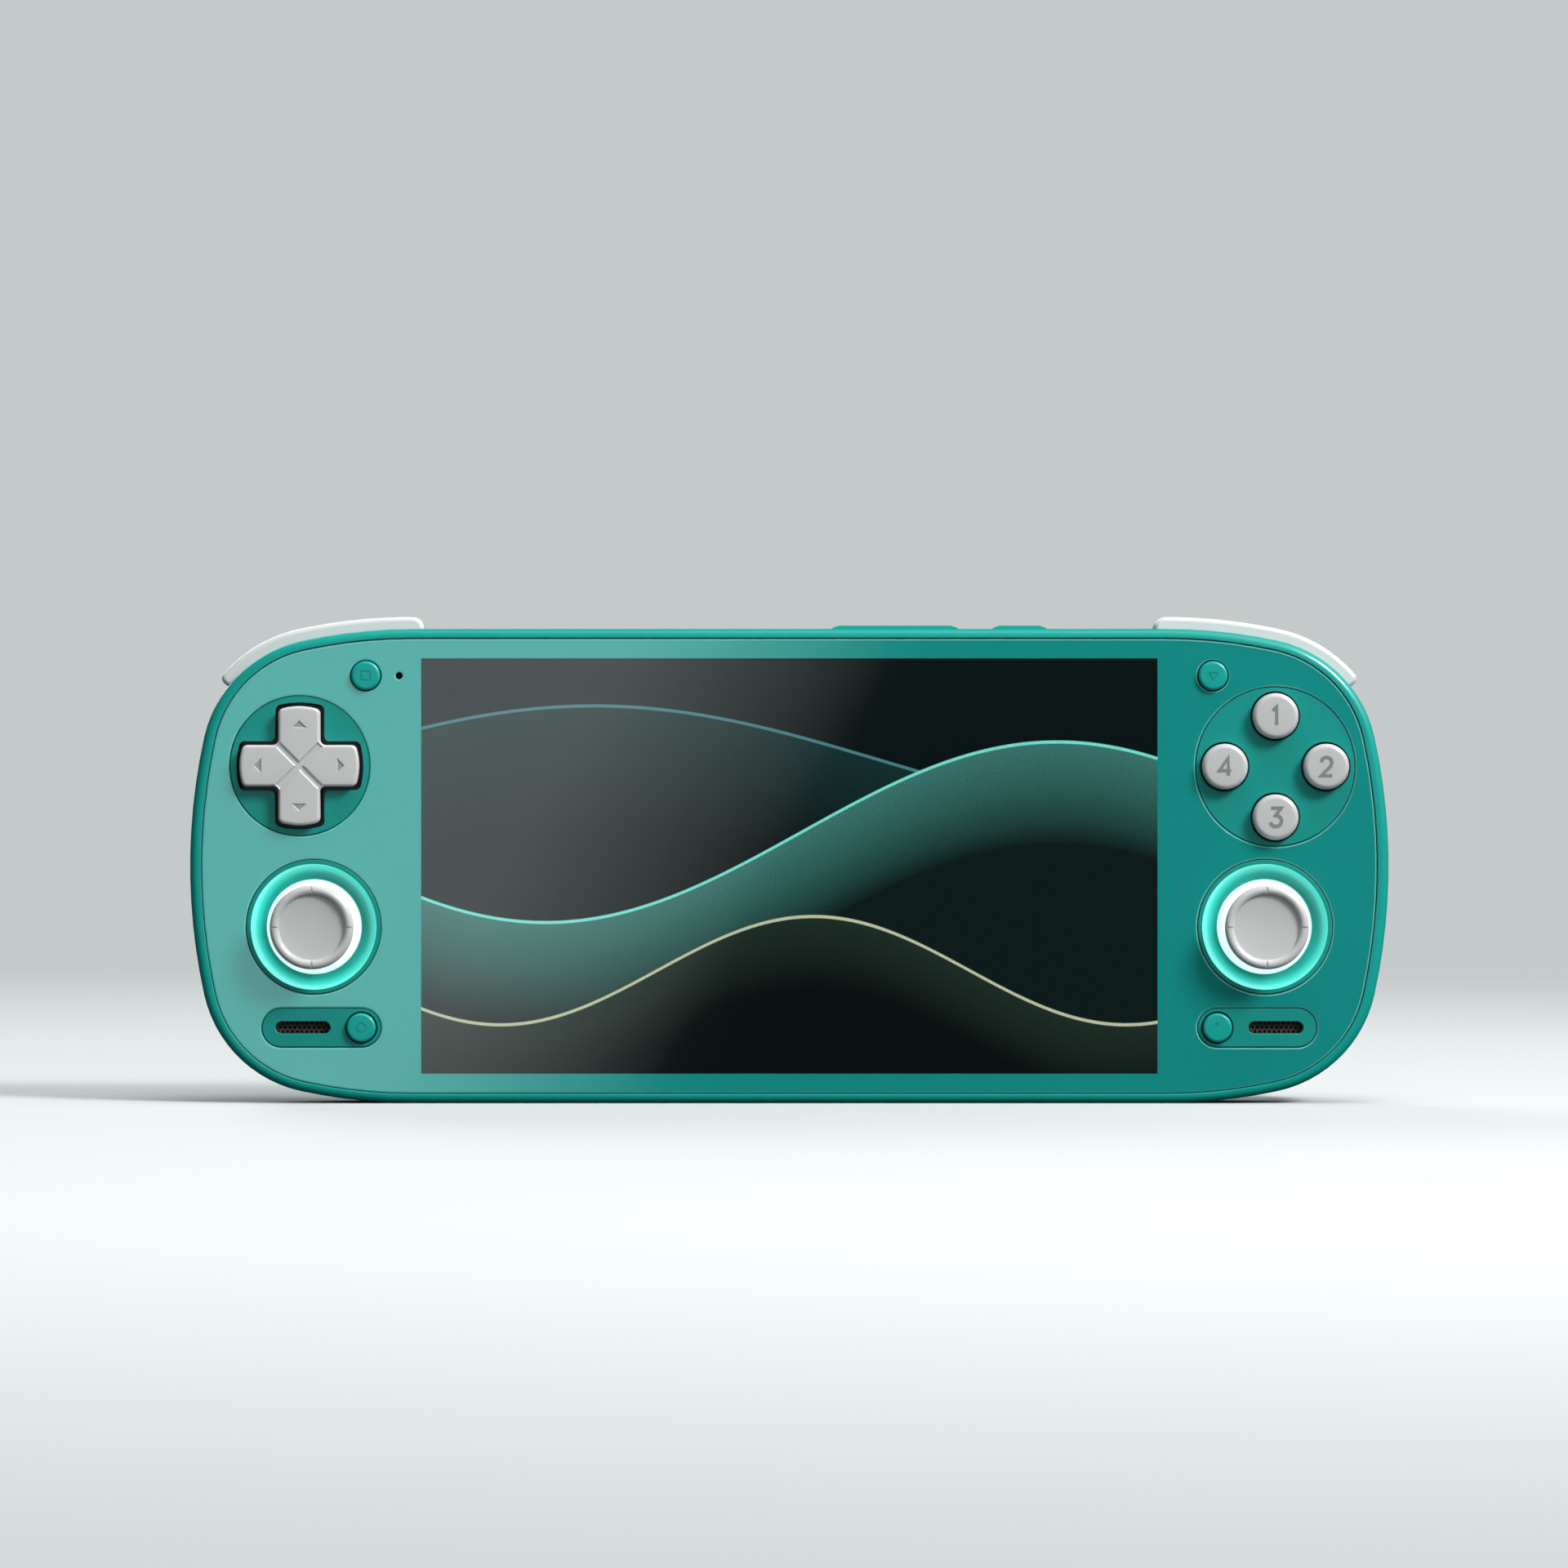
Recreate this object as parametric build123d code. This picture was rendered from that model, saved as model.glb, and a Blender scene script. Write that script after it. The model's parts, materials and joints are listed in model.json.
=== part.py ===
from build123d import *
import math
import os

# Frame: X to the right seen from the front, Y to the back, Z up, millimetres.
# The origin is the middle of the flat bottom edge, which the console stands on.

# Body: a flat slab whose outline is a chain of tangent arcs.
# Its width and height follow from the display and the margins round it.
display_width = 122.3
display_height = 69.0
control_width = 38.45
bezel_height = 4.9
body_width = display_width + 2 * control_width
body_height = display_height + 2 * bezel_height
body_depth = 15.6
corner_radius = 21.0
side_bulge = 1.85
shoulder_drop = 1.5
shoulder_run = 14.0
rim_edge_radius = 1.3
rear_edge_radius = 4.0
frame_depth = 10.0
wall = 1.5
deck_thickness = 1.0
edge_break = 0.12
overrun = 2.0

# Face: a flush glass over a printed film, inside the rim of the frame
rim_side = 1.9
rim_top = 1.55
face_gap = 0.17
glass_thickness = 0.8
film_thickness = 0.15
glass_edge = 0.22
microphone_radius = 0.6
microphone_inset = 34.8
top_row_drop = 7.8

# Display, its tray and the chassis plate behind it
panel_margin = 1.8
panel_gap = 0.15
panel_thickness = 1.6
tray_wall = 0.4
chassis_thickness = 0.8
chassis_side = 0.25
chassis_end = 0.3
chassis_ear_height = 5.0
chassis_boss_height = 1.6
chassis_boss_radius = 1.8

# Boards and small screws
board_thickness = 0.8
board_screw_radius = 0.7
board_screw_head_radius = 1.3
board_screw_head_height = 0.6
board_screw_grip = 1.5
screw_gap = 0.05
control_board_depth = 4.6
control_board_inset = 4.6
control_board_start_inset = 31.4
board_post_radius = 1.6
post_inset = 33.9
chassis_post_radius = 1.9
chassis_post_steps = (-17.4, 10.6)
board_post_insets = ((29.0, 14.7), (6.4, 19.7), (8.1, -9.3))

# Rear cover, grips and rear screws
grip_inset = 19.1
grip_bottom = 6.0
grip_top_drop = 22.8
grip_width = 27.0
grip_corner = 13.0
grip_depth = 5.0
grip_edge_radius = 3.6
rear_screw_radius = 0.8
rear_screw_head_radius = 1.5
rear_screw_head_height = 0.8
rear_screw_head_sink = 2.0
rear_screw_length = 9.4
rear_post_radius = 2.2
rear_screw_low = 7.5
rear_screw_drop = 13.3
rear_screw_inset = 9.6
rear_screw_step = 4.6
vent_slot_width = 1.2
vent_slot_length = 16.0
vent_pitch = 2.6
vent_count = 7
exhaust_slot_width = 1.4
exhaust_slot_height = 2.0
exhaust_pitch = 2.8
exhaust_count = 11

# Direction pad
dpad_inset = 18.3
dpad_drop = 22.75
dpad_well_radius = 11.6
well_gap = 0.16
well_sink = 0.3
dpad_span = 19.8
dpad_arm = 6.9
dpad_gap = 0.6
dpad_corner = 1.0
dpad_bow = 0.6
dpad_inner_corner = 0.9
dpad_height = 1.8
dpad_edge_radius = 0.55
dpad_groove_width = 1.25
dpad_groove_depth = 0.3
dpad_arrow_width = 2.7
dpad_arrow_height = 1.3
dpad_arrow_place = 6.7
dpad_arrow_depth = 0.15
dpad_sunk_slope = 45.0
dpad_flange_radius = 10.3
dpad_flange_drop = 1.15
dpad_flange_thickness = 0.6
dpad_ledge = 0.7
pivot_radius = 1.2
pivot_gap = 0.05
pivot_depth = 2.95
pivot_hub_radius = 1.8
pivot_cup_radius = 1.6
membrane_thickness = 0.7
membrane_dome_height = 0.22
membrane_dome_radius = 2.2
membrane_hole_radius = 2.3

# Face buttons
cluster_inset = 18.9
cluster_drop = 22.9
cluster_well_radius = 13.2
cluster_ledge = 0.8
button_spacing = 8.4
button_radius = 3.8
button_gap = 0.3
button_height = 1.75
button_edge_radius = 0.85
button_flange_width = 0.5
button_flange_thickness = 0.6
button_seat_gap = 0.1

# Small round buttons
small_button_radius = 2.42
small_button_gap = 0.22
small_button_height = 0.6
small_button_edge_radius = 0.5
small_button_flange_width = 0.6
small_button_stem_radius = 1.0
small_mark_size = 1.7
small_mark_line = 0.22
small_mark_depth = 0.06
mark_triangle_share = 0.62
top_button_inset = 29.25
switch_size = 3.0
switch_height = 0.6
switch_gap = 0.45

# Sticks
stick_inset = 20.6
stick_rise = 29.3
stick_well_radius = 11.15
stick_well_sink = 0.15
stick_ledge = 0.6
dish_radius = 10.4
dish_gap = 0.392
dish_depth = 1.75
dish_floor = 0.7
stick_pivot_depth = 6.6
dome_radius = 8.8
dome_thickness = 0.7
dome_lip_share = 0.06
stick_tube_radius = 2.7
stick_shaft_radius = 1.7
stick_shaft_gap = 0.08
stick_cap_radius = 6.95
stick_cap_thickness = 2.8
stick_cap_gap = 0.45
stick_bead_radius = 0.78
stick_disc_dip = 0.25
stick_tick_width = 0.3
stick_tick_length = 1.1
stick_tick_depth = 0.25
ring_half = 4.9
ring_opening = 3.7
ring_half_thickness = 0.8
trunnion_radius = 0.6
trunnion_gap = 0.05
trunnion_length = 1.3
base_half = 9.4
base_drop = 3.4
base_switch_radius = 2.4
base_switch_height = 0.9
base_thickness = 1.0
base_post_place = 8.2
base_post_radius = 0.9
ear_gap = 0.3
ear_thickness = 1.4
ear_width = 3.0
light_ring_width = 1.5
light_ring_thickness = 0.8
light_ring_gap = 0.15

# Lower inserts with the speakers
insert_inset = 21.9
insert_rise = 12.55
insert_length = 19.7
insert_height = 6.4
insert_ledge = 0.5
insert_button_inset = 28.5
speaker_slot_inset = 18.8
speaker_slot_length = 9.1
speaker_slot_height = 2.0
mesh_margin = 0.7
mesh_thickness = 0.2
mesh_pocket_depth = 0.5
mesh_pitch = 0.8
mesh_hole_radius = 0.27
mesh_columns = 11
mesh_rows = 3
speaker_length = 12.4
speaker_height = 6.0
speaker_depth = 2.4
speaker_cone_share = 0.36

# Shoulder bumpers
bumper_start_inset = 38.8
bumper_end_angle = 37.8
bumper_proud = 2.05
bumper_inside = 2.9
bumper_gap = 0.3
bumper_end_gap = 1.1
bumper_front_depth = 3.2
bumper_corner = 1.9
bumper_end_corner = 1.2
bumper_edge_radius = 0.8
bumper_pin_place = 1.9
bumper_pin_depth = 1.6
bumper_pin_radius = 0.65
bumper_pin_gap = 0.06
bumper_switch_inset = 23.6

# Triggers
trigger_start_inset = 30.1
trigger_width = 19.0
trigger_side_gap = 0.3
trigger_front_gap = 0.35
trigger_proud = 1.4
trigger_pivot_depth = 2.6
trigger_pivot_drop = 9.8
trigger_pin_radius = 0.8
trigger_pin_gap = 0.05
trigger_ear = 1.1
trigger_boss_radius = 2.0
trigger_reach = 6.4
trigger_tip_drop = 16.4
trigger_thickness = 3.0
trigger_pocket_drop = 18.4
trigger_edge_radius = 0.5
spring_radius = 1.45
spring_wire = 0.4
spring_pitch = 0.6
spring_turns = 5
spring_slot = 4.2

# Keys on the top edge
key_height = 0.62
key_slope = 1.35
key_depth = 2.4
key_gap = 0.15
key_flange = 0.6
key_flange_gap = 0.4
volume_key_inset = 82.0
volume_key_length = 21.4
volume_switch_spacing = 12.0
power_key_inset = 61.25
power_key_length = 9.4
key_dimple_radius = 0.35
volume_dimple_share = 0.72
power_dimple_share = 0

# Main board with what it carries
main_board_left = 9.0
main_board_margin = 1.45
main_board_bottom = 2.2
main_board_screw_margin = 3.0
chip_height = 1.0
chip_size = 14.0
chip_place = 28.0
chip_fan_gap = 2.0
memory_share = 0.5
memory_step_share = 0.9
battery_margin = 1.95
battery_right = 12.0
battery_bottom = 8.0
battery_drop = 7.8
battery_thickness = 6.5
battery_corner = 2.0
sink_left = 16.0
sink_right = 52.0
sink_thickness = 0.8
sink_plate_height = 14.0
sink_pipe_width = 6.0
fin_left = 14.0
fin_height = 7.0
fin_drop = 4.8
fin_depth = 4.6
fin_thickness = 0.4
fin_pitch = 1.9
fin_count = 20
fan_place = 28.0
fan_fin_gap = 2.0
fan_half = 15.0
fan_front_gap = 1.95
fan_depth = 5.2
fan_wall = 0.8
fan_cavity_radius = 13.6
fan_inlet_radius = 9.0
fan_outlet_width = 22.0
fan_leg_radius = 1.0
rotor_radius = 12.8
rotor_hub_radius = 4.5
rotor_gap = 0.5
rotor_pin_radius = 0.7
rotor_pin_gap = 0.05
blade_count = 13
blade_thickness = 0.6
blade_lean = 35.0

# Sockets on the bottom edge
usb_place_share = 0.11447
usb_width = 9.0
usb_height = 3.2
usb_length = 7.4
usb_wall = 0.3
usb_tongue_width = 6.7
usb_tongue_thickness = 0.7
jack_place_share = 0.26165
jack_bore_radius = 1.8
jack_length = 12.0
jack_width = 6.0
jack_depth = 4.8
jack_back = 1.3
jack_collar_radius = 2.35
card_place_share = 0.39248
card_width = 14.0
card_length = 15.0
card_height = 1.8
card_slot_width = 11.4
card_slot_height = 1.0
card_slot_depth = 13.0
socket_gap = 0.3
socket_sink = 0.4

# Places across the body: insets are measured from its side, margins from the panel's edge
half_width = body_width / 2
panel_width = display_width + 2 * panel_margin
panel_height = display_height + 2 * panel_margin
chassis_width = panel_width + 2 * chassis_side
chassis_height = panel_height - 2 * chassis_end
microphone_offset = half_width - microphone_inset
control_board_start = half_width - control_board_start_inset
post_column = half_width - post_inset
grip_offset = half_width - grip_inset
dpad_offset = half_width - dpad_inset
cluster_offset = half_width - cluster_inset
top_button_offset = half_width - top_button_inset
stick_offset = half_width - stick_inset
insert_offset = half_width - insert_inset
insert_button_offset = half_width - insert_button_inset
speaker_slot_offset = half_width - speaker_slot_inset
bumper_start = half_width - bumper_start_inset
bumper_switch_offset = half_width - bumper_switch_inset
trigger_start = half_width - trigger_start_inset
volume_key_place = half_width - volume_key_inset
power_key_place = half_width - power_key_inset
main_board_right = panel_width / 2 - main_board_margin
battery_left = panel_width / 2 - battery_margin
usb_place = display_width * usb_place_share
jack_place = display_width * jack_place_share
card_place = display_width * card_place_share

# Heights: drops are measured from the top edge, rises from the bottom, steps from the middle
mid_z = body_height / 2
top_row_z = body_height - top_row_drop
dpad_z = body_height - dpad_drop
cluster_z = body_height - cluster_drop
stick_z = stick_rise
insert_z = insert_rise
grip_height = body_height - grip_top_drop - grip_bottom
grip_rise = grip_bottom + grip_height / 2
trigger_pivot_rise = body_height - trigger_pivot_drop
trigger_tip_rise = body_height - trigger_tip_drop
trigger_pocket_rise = body_height - trigger_pocket_drop
battery_top = body_height - battery_drop
fin_top = body_height - fin_drop
fin_bottom = fin_top - fin_height
fan_rise = fin_bottom - fan_fin_gap - fan_half
chip_rise = fan_rise - fan_half - chip_fan_gap - sink_plate_height / 2
chassis_post_rises = [mid_z + step for step in chassis_post_steps]
board_post_places = [(half_width - inset, stick_z + step) for inset, step in board_post_insets]
rear_screw_places = [
    (post_column, rear_screw_low),
    (post_column, body_height - rear_screw_drop),
    (half_width - rear_screw_inset, mid_z + rear_screw_step),
]

# Levels from the front face to the back
face_y = -body_depth / 2
back_y = body_depth / 2
film_y = face_y + glass_thickness
deck_y = film_y + film_thickness
deck_back_y = deck_y + deck_thickness
parting_y = face_y + frame_depth
panel_back_y = deck_y + panel_thickness
tray_back_y = panel_back_y + tray_wall
chassis_back_y = tray_back_y + chassis_thickness
main_board_y = chassis_back_y + chassis_boss_height
main_board_back_y = main_board_y + board_thickness
control_board_y = face_y + control_board_depth
control_board_back_y = control_board_y + board_thickness
wall_z = body_height - wall
key_flange_z = wall_z - key_flange_gap
key_switch_z = key_flange_z - key_flange - switch_gap
main_board_top = key_switch_z - switch_height
head_y = back_y - rear_screw_head_sink
pivot_y = face_y + pivot_depth
stick_pivot_y = face_y + stick_pivot_depth
dish_hole_radius = math.sqrt(
    (dome_radius + dish_gap) ** 2 - (stick_pivot_depth - stick_well_sink - dish_depth) ** 2
)
small_hole_radius = small_button_radius + small_button_gap
bumper_y = face_y + bumper_front_depth
trigger_y = parting_y + trigger_front_gap
trigger_pivot_y = parting_y + trigger_pivot_depth

os.makedirs("parts", exist_ok=True)


def save(name, shape):
    export_step(shape, "parts/" + name + ".step")


def slab(sketch, front, back):
    # A sketch drawn in X and Z, made solid from the front level to the back level
    return extrude(Plane.XZ.offset(-back) * sketch, amount=back - front)


def disc(x, z, radius, front, back):
    return slab(Pos(x, z) * Circle(radius), front, back)


def tower(sketch, low, high):
    # A sketch drawn in X and Y, made solid from one height to another
    return extrude(Plane.XY.offset(low) * sketch, amount=high - low)


def block(xs, ys, zs):
    size = Box(abs(xs[1] - xs[0]), abs(ys[1] - ys[0]), abs(zs[1] - zs[0]))
    return Pos((xs[0] + xs[1]) / 2, (ys[0] + ys[1]) / 2, (zs[0] + zs[1]) / 2) * size


def rod_along_x(x_low, x_high, y, z, radius):
    return Pos((x_low + x_high) / 2, y, z) * Rot(0, 90, 0) * Cylinder(radius, x_high - x_low)


def rod_along_z(x, y, z_low, z_high, radius):
    return Pos(x, y, (z_low + z_high) / 2) * Cylinder(radius, z_high - z_low)


def turned(edges, x, z):
    # A profile in radius and Y, turned about the line along Y through x and z
    return Pos(x, 0, z) * revolve(make_face(edges), Axis.Y)


def front_edges(shape):
    return shape.faces().sort_by(Axis.Y)[0].edges()


def rear_edges(shape):
    return shape.faces().sort_by(Axis.Y)[-1].edges()


def outline_frame(side_inset, top_inset):
    # Half sizes, corner radius, corner centre and the two large radii that meet the corner arc
    half_width = body_width / 2 - side_inset
    half_height = body_height / 2 - top_inset
    radius = corner_radius - (side_inset + top_inset) / 2
    corner = Vector(half_width - side_bulge - radius, half_height - shoulder_drop - radius)
    side_radius = ((radius + side_bulge) ** 2 + corner.Y ** 2 - radius ** 2) / (2 * side_bulge)
    shoulder_radius = radius + (shoulder_run ** 2 + shoulder_drop ** 2) / (2 * shoulder_drop)
    return half_width, half_height, radius, corner, side_radius, shoulder_radius


def outline(side_inset, top_inset):
    # The console's outline: flat top and bottom, bowed sides, a shoulder arc and a corner arc each
    half_width, half_height, radius, corner, side_radius, shoulder_radius = outline_frame(
        side_inset, top_inset
    )
    shoulder_centre = Vector(corner.X - shoulder_run, half_height - shoulder_radius)
    side_way = (corner - Vector(half_width - side_radius, 0)).normalized()
    shoulder_way = (corner - shoulder_centre).normalized()
    side_end = corner + side_way * radius
    corner_end = corner + shoulder_way * radius
    corner_middle = corner + (side_way + shoulder_way).normalized() * radius
    shoulder_middle = shoulder_centre + (shoulder_way + Vector(0, 1)).normalized() * shoulder_radius
    edges = []
    for sx in (-1, 1):
        edges.append(
            ThreePointArc(
                (sx * side_end.X, -side_end.Y), (sx * half_width, 0), (sx * side_end.X, side_end.Y)
            )
        )
        for sz in (-1, 1):
            places = [
                (sx * p.X, sz * p.Y)
                for p in (side_end, corner_middle, corner_end, shoulder_middle)
            ]
            flat_end = (sx * shoulder_centre.X, sz * half_height)
            edges.append(ThreePointArc(*places[:3]))
            edges.append(ThreePointArc(*places[2:], flat_end))
    for sz in (-1, 1):
        edges.append(
            Line((-shoulder_centre.X, sz * half_height), (shoulder_centre.X, sz * half_height))
        )
    return Pos(0, mid_z) * make_face(edges)


def shoulder_height(x, inset):
    # Height of the outline's shoulder arc over the place x, drawn in by the inset
    _, half_height, _, corner, _, shoulder_radius = outline_frame(inset, inset)
    along = x - (corner.X - shoulder_run)
    return mid_z + half_height - shoulder_radius + math.sqrt(shoulder_radius ** 2 - along ** 2)


def shoulder_band(side, proud, inside, gap, end_gap):
    # The strip along one shoulder, from its inner end to a cut across the corner arc
    _, _, _, corner, _, _ = outline_frame(0, 0)
    inner_half = Pos(bumper_start - gap, mid_z) * Rectangle(
        body_width, body_height, align=(Align.MIN, Align.MIN)
    )
    turn = Rot(0, 0, bumper_end_angle)
    outer_half = Pos(corner.X, mid_z + corner.Y) * turn * Pos(0, -end_gap) * Rectangle(
        2 * body_width, body_height, align=(Align.CENTER, Align.MIN)
    )
    band = (outline(-proud, -proud) - outline(inside, inside)) & inner_half & outer_half
    return band if side > 0 else mirror(band, Plane.YZ)


def cross(span, arm, bow, corner, inner_corner):
    # A plus shape with bowed arm ends, rounded outer and inner corners
    half = span / 2
    reach = half - bow
    end = [(reach, -arm / 2), (half, 0), (reach, arm / 2)]
    upright = make_face(
        [
            ThreePointArc(*end),
            Line(end[2], (-reach, arm / 2)),
            ThreePointArc((-reach, arm / 2), (-half, 0), (-reach, -arm / 2)),
            Line((-reach, -arm / 2), end[0]),
        ]
    )
    shape = upright + Rot(0, 0, 90) * upright
    corners = shape.vertices()
    inner = [v for v in corners if max(abs(v.X), abs(v.Y)) < arm]
    shape = fillet(inner, inner_corner)
    outer = [v for v in shape.vertices() if max(abs(v.X), abs(v.Y)) > reach - bow / 2]
    return fillet(outer, corner)


def deck_openings():
    # What the frame's deck leaves free behind the face
    holes = Pos(0, mid_z) * Rectangle(panel_width + 2 * panel_gap, panel_height + 2 * panel_gap)
    holes += Pos(-dpad_offset, dpad_z) * Circle(dpad_well_radius - dpad_ledge)
    holes += Pos(cluster_offset, cluster_z) * Circle(cluster_well_radius - cluster_ledge + well_gap)
    holes += Pos(-microphone_offset, top_row_z) * Circle(microphone_radius)
    for side in (-1, 1):
        holes += Pos(side * stick_offset, stick_z) * Circle(stick_well_radius - stick_ledge + well_gap)
        holes += Pos(side * insert_offset, insert_z) * SlotOverall(
            insert_length - 2 * insert_ledge + 2 * well_gap, insert_height - 2 * insert_ledge + 2 * well_gap
        )
        holes += Pos(side * top_button_offset, top_row_z) * Circle(small_hole_radius)
    return holes


def face_openings(gap):
    # What the glass and the film leave free, apart from the display
    holes = Pos(-dpad_offset, dpad_z) * Circle(dpad_well_radius + gap)
    holes += Pos(cluster_offset, cluster_z) * Circle(cluster_well_radius + gap)
    holes += Pos(-microphone_offset, top_row_z) * Circle(microphone_radius)
    for side in (-1, 1):
        holes += Pos(side * stick_offset, stick_z) * Circle(stick_well_radius + gap)
        holes += Pos(side * insert_offset, insert_z) * SlotOverall(
            insert_length + 2 * gap, insert_height + 2 * gap
        )
        holes += Pos(side * top_button_offset, top_row_z) * Circle(small_hole_radius)
    return holes


def key_slot(place, length):
    half = length / 2 + key_gap
    middle = (main_board_y + main_board_back_y) / 2
    reach = key_depth / 2 + key_gap
    return block(
        (place - half, place + half), (middle - reach, middle + reach),
        (wall_z - overrun, body_height + overrun),
    )


def jack_y():
    return parting_y - jack_back - jack_depth / 2


def card_y():
    return main_board_back_y + card_height / 2


def usb_y():
    return main_board_back_y + usb_height / 2


def make_front_frame():
    shape = slab(outline(0, 0), face_y, parting_y)
    shape = fillet(front_edges(shape), rim_edge_radius)
    shape -= slab(outline(rim_side, rim_top), face_y - overrun, deck_y)
    inner_rim = shape.faces().filter_by(Axis.Y).sort_by(Axis.Y)[0].inner_wires()[0].edges()
    shape = chamfer(inner_rim, edge_break)
    shape -= slab(outline(wall, wall), deck_back_y, parting_y + overrun)
    shape -= slab(deck_openings(), deck_y - overrun, deck_back_y + overrun)
    post_y = deck_back_y - deck_thickness / 2
    for side in (-1, 1):
        for x, z in rear_screw_places:
            shape += disc(side * x, z, rear_post_radius, post_y, parting_y)
            shape -= disc(
                side * x, z, rear_screw_radius + screw_gap,
                head_y - rear_screw_length - screw_gap, parting_y,
            )
        for z in chassis_post_rises:
            shape += disc(side * post_column, z, chassis_post_radius, post_y, tray_back_y)
            shape -= disc(
                side * post_column, z, board_screw_radius + screw_gap,
                tray_back_y - board_screw_grip - screw_gap, tray_back_y,
            )
        for x, z in board_post_places:
            shape += disc(side * x, z, board_post_radius, post_y, control_board_y)
            shape -= disc(
                side * x, z, board_screw_radius + screw_gap,
                control_board_y - board_screw_grip - screw_gap, control_board_y,
            )
        window = shoulder_band(side, overrun, bumper_inside + bumper_gap, bumper_gap, bumper_end_gap)
        shape -= slab(window, bumper_y - bumper_gap, parting_y + overrun)
        pin_x = side * (bumper_start + bumper_pin_place)
        shape += disc(
            pin_x, body_height - bumper_pin_depth, bumper_pin_radius, bumper_y - wall, parting_y
        )
    shape -= key_slot(volume_key_place, volume_key_length)
    shape -= key_slot(power_key_place, power_key_length)
    shape -= tower(
        Pos(usb_place, usb_y()) * SlotOverall(usb_width + 2 * socket_gap, usb_height + 2 * socket_gap),
        -overrun, wall + overrun,
    )
    shape -= rod_along_z(jack_place, jack_y(), -overrun, wall + overrun, jack_collar_radius + screw_gap)
    shape -= tower(
        Pos(card_place, card_y())
        * Rectangle(card_slot_width + 2 * socket_gap, card_slot_height + 2 * socket_gap),
        -overrun, wall + overrun,
    )
    return shape


def make_glass():
    shape = slab(outline(rim_side + face_gap, rim_top + face_gap), face_y, film_y)
    shape -= slab(face_openings(well_gap), face_y - overrun, film_y + overrun)
    return chamfer(front_edges(shape), glass_edge)


def make_film():
    shape = outline(rim_side + face_gap, rim_top + face_gap) - face_openings(well_gap)
    shape -= Pos(0, mid_z) * Rectangle(display_width, display_height)
    return slab(shape, film_y, deck_y)


def make_display():
    return slab(Pos(0, mid_z) * Rectangle(panel_width, panel_height), deck_y, panel_back_y)


def make_tray():
    inner_width = panel_width + 2 * panel_gap
    inner_height = panel_height + 2 * panel_gap
    outer = Pos(0, mid_z) * Rectangle(inner_width + 2 * tray_wall, inner_height + 2 * tray_wall)
    inner = Pos(0, mid_z) * Rectangle(inner_width, inner_height)
    return slab(outer, deck_back_y, tray_back_y) - slab(inner, deck_back_y - overrun, panel_back_y)


def main_board_screws():
    left = -main_board_left + main_board_screw_margin
    right = main_board_right - main_board_screw_margin
    top = main_board_top - main_board_screw_margin
    bottom = main_board_bottom + main_board_screw_margin
    return ((left, top), (right, top), (left, bottom + chip_size), (right, bottom + chip_size))


def make_chassis():
    plate = Pos(0, mid_z) * Rectangle(chassis_width, chassis_height)
    ear_half = post_column + chassis_post_radius
    for z in chassis_post_rises:
        plate += Pos(0, z) * Rectangle(2 * ear_half, chassis_ear_height)
    shape = slab(plate, tray_back_y, chassis_back_y)
    for side in (-1, 1):
        for z in chassis_post_rises:
            shape -= disc(
                side * post_column, z, board_screw_radius + screw_gap,
                tray_back_y - overrun, chassis_back_y + overrun,
            )
    for x, z in main_board_screws():
        shape += disc(x, z, chassis_boss_radius, tray_back_y, main_board_y)
        shape -= disc(
            x, z, board_screw_radius + screw_gap,
            main_board_y - board_screw_grip - screw_gap, main_board_y,
        )
    return shape


def board_screw(x, z, seat):
    # A pan head screw whose head sits on the level of the seat and points forward
    shank = disc(x, z, board_screw_radius, seat - board_thickness - board_screw_grip, seat)
    head = disc(x, z, board_screw_head_radius, seat, seat + board_screw_head_height)
    drive = disc(
        x, z, board_screw_radius / 2, seat + board_screw_head_height / 2, seat + board_screw_head_height
    )
    return shank + head - drive


def make_board_screws():
    screws = [board_screw(x, z, main_board_back_y) for x, z in main_board_screws()]
    for side in (-1, 1):
        screws += [board_screw(side * post_column, z, chassis_back_y) for z in chassis_post_rises]
        screws += [board_screw(side * x, z, control_board_back_y) for x, z in board_post_places]
    return Compound(children=screws)


def make_main_board():
    left = -main_board_left
    sheet = Pos((left + main_board_right) / 2, (main_board_bottom + main_board_top) / 2) * Rectangle(
        main_board_right - left, main_board_top - main_board_bottom
    )
    jack_half = jack_width / 2 + socket_gap / 2
    sheet -= Pos(jack_place, main_board_bottom) * Rectangle(
        2 * jack_half, 2 * (jack_length + wall - main_board_bottom + socket_gap)
    )
    for x, z in main_board_screws():
        sheet -= Pos(x, z) * Circle(board_screw_radius + screw_gap)
    shape = slab(sheet, main_board_y, main_board_back_y)
    top = main_board_back_y + chip_height
    shape += slab(Pos(chip_place, chip_rise) * Rectangle(chip_size, chip_size), main_board_back_y, top)
    memory = Rectangle(chip_size * memory_share, chip_size)
    for step in (-1, 1):
        place = chip_place + step * chip_size * memory_step_share
        shape += slab(Pos(place, chip_rise) * memory, main_board_back_y, top - chip_height * memory_share)
    return shape


def make_battery():
    shape = Pos(-(battery_left + battery_right) / 2, (battery_bottom + battery_top) / 2) * RectangleRounded(
        battery_left - battery_right, battery_top - battery_bottom, battery_corner
    )
    shape = slab(shape, chassis_back_y, chassis_back_y + battery_thickness)
    return fillet(rear_edges(shape), battery_corner / 2)


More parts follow.
